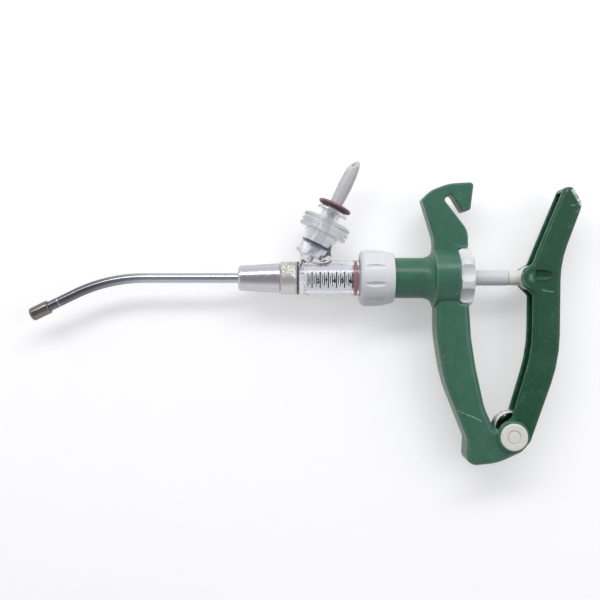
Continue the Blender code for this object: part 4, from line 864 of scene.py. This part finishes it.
# %% Dose knob
SCALLOPS, SCALLOP_RADIUS, SCALLOP_DEPTH = 8, 7.5, 2.7
KNOB_RADIUS = 18.4
knob = turned([
    (11.8, 102.2, 0.5), (KNOB_RADIUS, 102.2, 3.4), (KNOB_RADIUS, 95.6, 1.2), (17.3, 93.9, 0.6), (7.7, 93.9),
    (7.7, 95.6), (5.05, 95.6), (5.05, 98.0), (6.25, 98.8, 0.3), (11.2, 98.8, 0.4),
], 160)
scallops = []
for k in range(SCALLOPS):
    turn = Matrix.Rotation(2 * math.pi * (k - 0.18) / SCALLOPS, 4, "Z")
    outwards = shifted(KNOB_RADIUS + SCALLOP_RADIUS - SCALLOP_DEPTH, 0, 0)
    scallops.append(placed(disc(SCALLOP_RADIUS, 91.0, 104.4, 96), turn @ outwards))
knob = combined(knob, together(*scallops))
piece("knob", knob, "dose_knob", pale_grey, ALONG, soft=0.45)

# %% Union nut
NUT_RADIUS, GROOVES = 16.9, 10
nut = turned([
    (13.2, 56.0), (14.6, 56.0, 1.2), (16.4, 49.5, 4), (NUT_RADIUS, 44.0, 6), (NUT_RADIUS, 35.5, 4.0),
    (13.4, 35.5, 1.0), (12.2, 35.5, 0.3), (10.95, 35.7), (10.95, 40.5), (13.2, 40.5),
], 160)
grooves = []
for k in range(GROOVES):
    lens = bmesh.new()
    bmesh.ops.create_uvsphere(lens, u_segments=24, v_segments=16, radius=1.0)
    placed(lens, Matrix.Diagonal((1.45, 1.75, 7.9, 1)))
    turn = Matrix.Rotation(2 * math.pi * (k + 0.39) / GROOVES, 4, "Z")
    grooves.append(placed(lens, turn @ shifted(NUT_RADIUS + 0.3, 0, 45.3)))
nut = combined(nut, together(*grooves))
piece("nut", nut, "union_nut", pale_grey, ALONG, soft=0.25)

# %% [markdown]
# ## Rod and rod end
# The piston's rod is a plain grey acetal bar. The cream eye on its end is a separate moulding,
# pushed onto a tenon, and swells into a ball with two flats where the lever's ears hold it.

# %% Rod and rod end
rod = turned([
    (0, 130.1), (2.6, 130.1), (2.6, 124.1), (4.55, 124.1, 0.3), (4.55, 40.65, 0.3), (2.6, 40.65),
    (2.6, 35.65), (0, 35.65),
])
piece("rod", rod, "piston_rod", rod_grey, ALONG)
BALL = 7.2
at_eye = shifted(0, 0, PIVOT_AT[0] + EYE_X)
ball_arc = [
    (BALL * math.cos(a), PIVOT_AT[0] + EYE_X + BALL * math.sin(a))
    for a in (math.radians(90 - 8 * i) for i in range(1, 16))
]
rod_eye = turned([(0, 144.2)] + ball_arc + [(4.45, 131.2, 2.5), (4.4, 124.4, 0.3), (0, 124.4)])
rod_eye = combined(rod_eye, placed(block(10.4, 22, 40), at_eye), how="INTERSECT")
tenon_hole = disc(2.9, 123.0, 130.4)
cross_hole = placed(disc(1.8, -12, 12), at_eye @ LENGTHWAYS)
rod_eye = combined(rod_eye, tenon_hole, cross_hole)
piece("rod eye", rod_eye, "rod_end", cream, ALONG, soft=0.4)

# %% [markdown]
# ## The clear barrel
# The barrel is injection-moulded clear plastic, with the inlet branch moulded on. Its bore has to
# be a real hollow with its own wall, because refraction at both surfaces is what makes it look
# like a tube and not a solid bar.

# %% Barrel
BARREL, BORE = 10.65, 8.15  # radii
BORE_FRONT = 2.3
barrel = turned([
    (0, 43.4), (12.8, 43.4, 0.3), (12.8, 40.8, 0.3), (BARREL, 40.8, 0.3), (BARREL, 4.4, 0.5),
    (10.0, 3.4, 0.3), (10.0, -0.4, 0.4), (7.3, -0.4, 0.2), (7.3, -7.5, 0.2), (0, -7.5),
], 128)
placed(barrel, LENGTHWAYS)
branch = placed(turned([
    (0, 26.5), (9.2, 26.5, 0.2), (8.9, 15.9), (9.9, 15.9, 0.2), (9.9, 14.4, 0.2), (7.5, 14.1),
    (4.2, 9.6, 1.0), (4.2, 8.0), (0, 8.0),
], 96), LEANING)
web = placed(disc(6.4, 8.0, 19.4, 64), shifted(12.4, 0, 0) @ tilted(-90, "X"))
web = combined(web, placed(block(40, 40, 20), LEANING @ shifted(0, 0, 26.2 + 10)))
barrel = combined(barrel, branch, web, how="UNION")
chamber = placed(turned([
    (0, 27.5), (8.3, 27.5), (8.3, 20.9), (5.2, 20.9), (5.2, 14.6, 0.4), (0, 14.6),
], 96), LEANING)
foot = Vector((-0.9, 1.25, 0))
top = LEANING @ Vector((0, 0, 15.1))
up_the_port = (top - foot).to_track_quat("Z", "Y").to_matrix().to_4x4()
port = placed(disc(1.6, 0, (top - foot).length, 32), shifted(*foot) @ up_the_port)
passage = placed(turned([
    (0, 44.4), (BORE, 44.4), (BORE, BORE_FRONT, 0.3), (2.5, BORE_FRONT), (2.5, -2.7), (4.6, -2.7),
    (4.6, -8.5), (0, -8.5),
], 128), LENGTHWAYS)
barrel = combined(barrel, passage, chamber, port)
piece("measuring barrel", barrel, "barrel", clear, soft=0.12)

# %% [markdown]
# ### The dose scale
# The scale is printed ink, so it lies on the curved wall and has almost no thickness. Each mark is
# a small grid laid flat, dropped onto the cylinder and then given a hair of depth.

# %% Ink that follows the wall
INK_RADIUS = BARREL + 0.02


def wrapped(shape):
    """Drops a flat shape onto the barrel's near side and gives it a hair of thickness."""
    for vert in shape.verts:
        vert.co.z = math.sqrt(INK_RADIUS**2 - vert.co.y**2)
    bmesh.ops.solidify(shape, geom=shape.faces[:], thickness=-0.03)
    bmesh.ops.recalc_face_normals(shape, faces=shape.faces)
    return shape


def mark(x, low, high, width):
    shape = bmesh.new()
    bmesh.ops.create_grid(shape, x_segments=1, y_segments=10, size=0.5)
    placed(shape, shifted(x, (low + high) / 2, 0) @ Matrix.Diagonal((width, high - low, 1, 1)))
    return wrapped(shape)


def digit(text, x, low, size):
    curve = bpy.data.curves.new("digit", "FONT")
    curve.body, curve.size, curve.align_x = text, size, "CENTER"
    curve.offset = 0.05 * size
    made = in_scene("digit", curve)
    bpy.context.view_layer.update()
    mesh = bpy.data.meshes.new_from_object(made.evaluated_get(bpy.context.evaluated_depsgraph_get()))
    shape = bmesh.new()
    shape.from_mesh(mesh)
    bpy.data.objects.remove(made)
    bpy.data.curves.remove(curve)
    bpy.data.meshes.remove(mesh)
    placed(shape, shifted(x, low, 0))
    return wrapped(shape)


# %% Marks and numbers
QUARTER = 28.753 / 24  # the way that the piston goes for a quarter of a millilitre
marks = []
for k in range(2, 25):
    x = BORE_FRONT + QUARTER * k
    if k % 4 == 0:
        low, high, width = -6.1, 3.4, 0.7
        marks.append(digit(str(k // 4), x - 1.3, -3.1, 3.5))
    elif k % 2 == 0:
        low, high, width = -5.0, 2.4, 0.55
    else:
        low, high, width = -3.9, 1.1, 0.5
    marks.append(mark(x, low, high, width))
piece("dose scale", together(*marks), "barrel", ink, stands=False)

# %% [markdown]
# ## Inside the pump
# Through the clear wall one sees the piston's red ring pressed against the bore, and the small
# check valves. They are simple turned shapes, but they have to be there: an empty clear barrel
# never looks right.

# %% Piston and its ring
FRONT = 31.353  # the piston's face at rest
piston = turned([
    (0, FRONT + 9), (7.4, FRONT + 9, 0.2), (7.8, FRONT + 8.4, 0.2), (7.8, FRONT + 3.6, 0.15),
    (5.9, FRONT + 3.6), (5.9, FRONT + 0.45), (7.4, FRONT + 0.45, 0.1), (7.2, FRONT, 0.1), (0, FRONT),
])
piston = combined(piston, disc(2.9, FRONT + 4.0, FRONT + 10.0))
piece("piston head", piston, "piston", white_acetal, ALONG, soft=0.1)
# The ring is pressed a hair into the bore, so no air gap between the two bends the light.
piston_ring = ring(BORE + 0.02, 6.2, FRONT + 0.6, FRONT + 2.9, 0.3, 0.3)
piece("piston ring", piston_ring, "piston_seal", red_rubber, ALONG)

# %% Check valves
def coil(radius, wire, start, turn, rise, steps, leg_in=0.0, leg_out=0.0):
    """A round wire wound about Z by spinning a small circle up a helix, with straight ends."""
    shape = bmesh.new()
    bmesh.ops.create_circle(shape, cap_ends=True, radius=wire / 2, segments=12)
    slope = math.atan2(rise, radius * abs(turn))
    at_start = Matrix.Rotation(start, 4, "Z") @ shifted(radius, 0, -rise / 2)
    placed(shape, at_start @ Matrix.Rotation(math.radians(-90) + slope, 4, "X"))
    heading = Vector((-math.sin(start), math.cos(start), 0))
    count = round(abs(turn) / (2 * math.pi) * steps)
    loop = shape.edges[:]
    if leg_in:
        bmesh.ops.delete(shape, geom=shape.faces[:], context="FACES_ONLY")
        far = pull(shape, loop, heading * -leg_in)
        bmesh.ops.edgenet_fill(shape, edges=far)
    spun = bmesh.ops.spin(
        shape, geom=loop + ends_of(loop), cent=(0, 0, 0), axis=(0, 0, 1), dvec=(0, 0, rise / count),
        angle=turn, steps=count,
    )
    last = only(bmesh.types.BMEdge, spun["geom_last"])
    if leg_out:
        last = pull(shape, last, Vector((-math.sin(start + turn), math.cos(start + turn), 0)) * leg_out)
    bmesh.ops.edgenet_fill(shape, edges=last)
    bmesh.ops.remove_doubles(shape, verts=shape.verts, dist=0.002)
    print("coil: open edges", sum(1 for e in shape.edges if len(e.link_faces) != 2))
    bmesh.ops.recalc_face_normals(shape, faces=shape.faces)
    return shape


def poppet(stem, face):
    """A check valve: a disc that seals with its upper face, on a stem below it."""
    return turned([
        (0, face), (3.1, face, 0.2), (3.6, face - 0.5, 0.2), (3.6, face - 1.4, 0.2), (1.0, face - 1.4, 0.2),
        (1.0, face - 1.4 - stem, 0.2), (0, face - 1.4 - stem),
    ], 48)


piece("outlet poppet", poppet(6.0, -4.5), "outlet_valve", white_acetal, ALONG)
outlet_seat = ring(4.3, 2.5, -4.2, -3.0, 0.1, 0.1, 64)
piece("outlet seat ring", outlet_seat, "outlet_seat", navy_rubber, ALONG)
piece("inlet poppet", poppet(2.6, 20.9), "inlet_valve", white_acetal, INLET)
piece("inlet washer", ring(8.0, 2.8, 21.2, 22.6, 0.2, 0.2), "inlet_seal", navy_rubber, INLET)

# %% Valve springs
VALVE_WIRE, VALVE_LIFT = 0.6, 1.2


def between(low, high, turns):
    """A small valve spring whose wire lies between two heights."""
    wound = coil(2.6, VALVE_WIRE, 0.0, 2 * math.pi * turns, high - low - VALVE_WIRE, 28)
    return placed(wound, shifted(0, 0, (low + high) / 2))


outlet_ends, inlet_ends = (-16.5, -6.2), (14.9, 19.2)
outlet_coil = piece("outlet spring", between(*outlet_ends, 4), "outlet_valve_spring", spring_steel, ALONG)
inlet_coil = piece("inlet spring", between(*inlet_ends, 3), "inlet_valve_spring", spring_steel, INLET)
for made, joint, place, (low, high) in (
    (outlet_coil, "outlet_valve_lift", ALONG, outlet_ends),
    (inlet_coil, "inlet_valve_lift", INLET, inlet_ends),
):
    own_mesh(made)

# %% [markdown]
# ## Seals and washers
# Every joint of the pump has a ring of rubber in it. The one behind the collar is squeezed so hard
# that it bulges out in waves, so its rim is pushed in and out a little all the way round.

# %% Seals, and the stop sleeve inside the handle
def wavy_ring(outer, inner, low, high):
    shape = ring(outer, inner, low, high, 0.3, segments=160)
    for vert in shape.verts:
        radius = math.hypot(vert.co.x, vert.co.y)
        if radius > inner + 1:
            turn = math.atan2(vert.co.y, vert.co.x)
            grow = 1 + 0.012 * math.sin(11 * turn) * math.sin(3 * turn + 1)
            vert.co.x *= grow
            vert.co.y *= grow
    return shape


piece("front washer", wavy_ring(9.9, 7.6, -1.9, -0.7), "front_seal", black_rubber, ALONG)
cup_band = ring(9.28, 8.95, 21.95, 22.75, 0.15, 0.05, 128)
piece("cup band", cup_band, "inlet_seal", navy_rubber, INLET, stands=False)
piece("rear washer", ring(12.5, 9.0, 43.7, 45.2, 0.3), "barrel_gasket", black_rubber, ALONG)
piece("stop sleeve", ring(7.4, 5.05, 40.65, 95.3, 0.2, 0.2), "dose_sleeve", white_acetal, ALONG)

# %% [markdown]
# ## Bottle adapter, washer and spike
# A second clear moulding sits over the inlet. Its ring carries three coarse ridges for the bottle's
# neck. A loose maroon washer grips the spike just above the flat seat, and has tipped a little. The
# spike that pierces the bottle's seal is grey plastic with a bevelled tip and a side hole.

# %% Adapter
FLAT_SEAT, RING_TOP, RING_FOOT = 45.0, 38.4, 29.6
RIDGES, PITCH = 3, 8.8 / 3
# The corners of one ridge: radius, how far down its pitch, and rounding.
RIDGE = [
    (13.7, 0.18, 0.1), (14.9, 0.28, 0.12), (14.9, 0.45, 0.1), (14.45, 0.52, 0.1), (14.9, 0.59, 0.1),
    (14.9, 0.8, 0.12), (13.7, 0.92, 0.1),
]
adapter_outline = [
    (3.2, FLAT_SEAT), (9.4, FLAT_SEAT, 0.3), (9.4, 43.4, 0.3), (5.8, 43.4, 0.4), (5.8, RING_TOP, 0.4),
    (13.2, RING_TOP, 0.4),
]
for ridge in range(RIDGES):
    adapter_outline += [(radius, RING_TOP - (ridge + down) * PITCH, soft) for radius, down, soft in RIDGE]
adapter_outline += [
    (12.6, RING_FOOT, 0.2), (10.3, RING_FOOT, 0.2), (10.3, 26.8, 0.2), (8.0, 26.8), (8.0, 22.9, 0.2),
    (2.5, 22.9), (2.5, 36.7), (3.2, 36.7),
]
piece("adapter", turned(adapter_outline, 128), "bottle_adapter", clear_ring, INLET)

# %% Washer
WASHER_LIFT, WASHER_TILT = 3.0, -2.0  # millimetres above the flat seat, and degrees
washer = turned([
    (3.8, 1.0, 0.2), (9.9, 0.5, 0.4), (10.5, -0.3, 0.5), (9.7, -1.2, 0.5), (6.6, -1.75, 2), (3.8, -1.5, 0.2),
])
washer_place = INLET @ shifted(0, 0, FLAT_SEAT + WASHER_LIFT) @ tilted(WASHER_TILT, "X")
piece("bottle washer", washer, "bottle_gasket", maroon_rubber, washer_place)

# %% Spike
SPIKE_TIP = 78.6
spike = turned([
    (0, SPIKE_TIP), (2.0, SPIKE_TIP, 1.5), (3.3, 74.6, 4), (4.0, 69.0, 6), (4.3, 61.2, 6),
    (3.7, 45.3, 0.2), (2.9, 45.3), (2.9, 37.0, 0.2), (1.1, 37.0), (1.1, 61.2), (0, 61.2),
], 64)
slanted = tilted(42, "Z") @ shifted(1.5, 0, SPIKE_TIP) @ tilted(33, "Y")
slice_off = placed(block(12, 14, 24), slanted @ shifted(-6, 0, 0))
open_tip = placed(disc(1.35, -7.0, 8.0, 32), shifted(-0.2, -0.2, 75.0))
side_hole = placed(disc(1.1, 0, 8.5, 32), shifted(0, 0, 59.7) @ tilted(-90, "Y"))
spike = combined(spike, slice_off, open_tip, side_hole)
piece("spike", spike, "bottle_spike", spike_grey, INLET, soft=0.15)

# %% [markdown]
# ## The nozzle
# A satin cone holds a polished steel tube that bends down towards the animal's back. The tube is
# one circle pulled straight, spun round the bend's centre and pulled straight again, then given
# its wall. The worn sleeve on its end has gone brown.

# %% Cone and collar
piece("cone", turned([
    (4.6, -7.8), (7.3, -7.8, 0.15), (7.3, -9.0), (5.6, -9.0), (5.6, -11.9), (8.9, -11.9, 0.4),
    (7.5, -36.9, 1.9), (3.3, -36.9), (3.3, -17.8), (2.3, -17.8), (2.3, -16.8), (4.6, -16.8),
], 128), "nozzle_cone", satin, ALONG)
piece("collar", turned([
    (7.6, -2.2), (9.75, -2.2, 0.5), (9.75, -11.6, 0.8), (5.9, -11.6, 0.1), (5.9, -10.1), (7.6, -10.1),
], 128), "nozzle_collar", nickel, ALONG)

# %% Tube
TUBE_START, BEND_START, LAST_STRAIGHT = -18.1, -93.3, 28.5
BEND, BEND_RADIUS = 25.8, 95.0  # degrees, and millimetres
bend_centre = Vector((BEND_START, -BEND_RADIUS, 0))
heading = tilted(BEND, "Z") @ Vector((-1, 0, 0))
tube = bmesh.new()
bmesh.ops.create_circle(tube, radius=3.0, segments=40)
placed(tube, shifted(TUBE_START, 0, 0) @ LENGTHWAYS)
rim = pull(tube, tube.edges[:], (BEND_START - TUBE_START, 0, 0), 30)
spun = bmesh.ops.spin(
    tube, geom=ends_of(rim) + rim, cent=bend_centre, axis=(0, 0, 1), angle=math.radians(BEND), steps=26,
)
pull(tube, only(bmesh.types.BMEdge, spun["geom_last"]), heading * LAST_STRAIGHT, 12)
bmesh.ops.remove_doubles(tube, verts=tube.verts, dist=0.002)
bmesh.ops.recalc_face_normals(tube, faces=tube.faces)
bmesh.ops.solidify(tube, geom=tube.faces[:], thickness=0.7)
bmesh.ops.recalc_face_normals(tube, faces=tube.faces)
piece("bent tube", tube, "nozzle_tube", tube_steel, smooth=50)

# %% Tip sleeve
end = bend_centre + tilted(BEND, "Z") @ Vector((0, BEND_RADIUS, 0)) + heading * LAST_STRAIGHT
TIP_PLACE = PUMP @ shifted(*end) @ heading.to_track_quat("Z", "Y").to_matrix().to_4x4()
piece("tip sleeve", turned([
    (2.3, 0.95, 0.1), (2.85, 0.95, 0.2), (3.75, 0.45, 0.3), (4.1, -0.45, 0.4), (4.1, -10.55, 0.3),
    (3.65, -11.05, 0.2), (3.15, -11.05), (3.15, 0.15), (2.3, 0.15),
], 72), "nozzle_tip", brown_steel, TIP_PLACE)
scribed = ring(3.05, 2.8, -17.6, -17.2, 0.04, segments=72)
piece("scribed ring", scribed, "nozzle_tube", satin, TIP_PLACE, stands=False)

# %% [markdown]
# ## The return spring
# One wire runs along the grip, winds round the pivot and runs up the lever. Spinning a circle with
# a steady rise makes the coil. Its two ends belong to different bodies, so the piece rides on
# neither and stays where it is made.

# %% Torsion spring
COIL_RADIUS, COIL_WIRE, COIL_PITCH, COIL_TURNS = 9.5, 1.6, 2.1, 5
BUSH_RADIUS, BUSH_GAP = 4.5, 0.3
turn_in, turn_out = math.radians(143.0 + 90), math.radians(76.5 - 90)
whole_turn = turn_out - turn_in + 2 * math.pi * COIL_TURNS
rise = COIL_PITCH * whole_turn / (2 * math.pi)
# The coil is wider than the bush that it hangs on, so its axis lies off the pivot's.
hang = COIL_RADIUS - COIL_WIRE / 2 - BUSH_RADIUS - BUSH_GAP
wound = coil(COIL_RADIUS, COIL_WIRE, turn_in, whole_turn, rise, 40, leg_in=21.5, leg_out=17.0)
coil_place = PIVOT @ shifted(0.12 * hang, 0.99 * hang, 0)
return_spring = piece("return spring", wound, "torsion_spring", spring_steel, coil_place, rides=False)
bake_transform(return_spring)

# %% [markdown]
# ## Small parts that stay as the CAD has them
# The cross pins and the bush hide between the cheeks. Their plain solids are right already, so
# they only get better materials.

# %% Finishes for the carried nodes
for node, material in (("pivot_pin", steel), ("link_pin", steel), ("pivot_bush", black_rubber)):
    frame["nodes"][node].material_slots[0].material = material
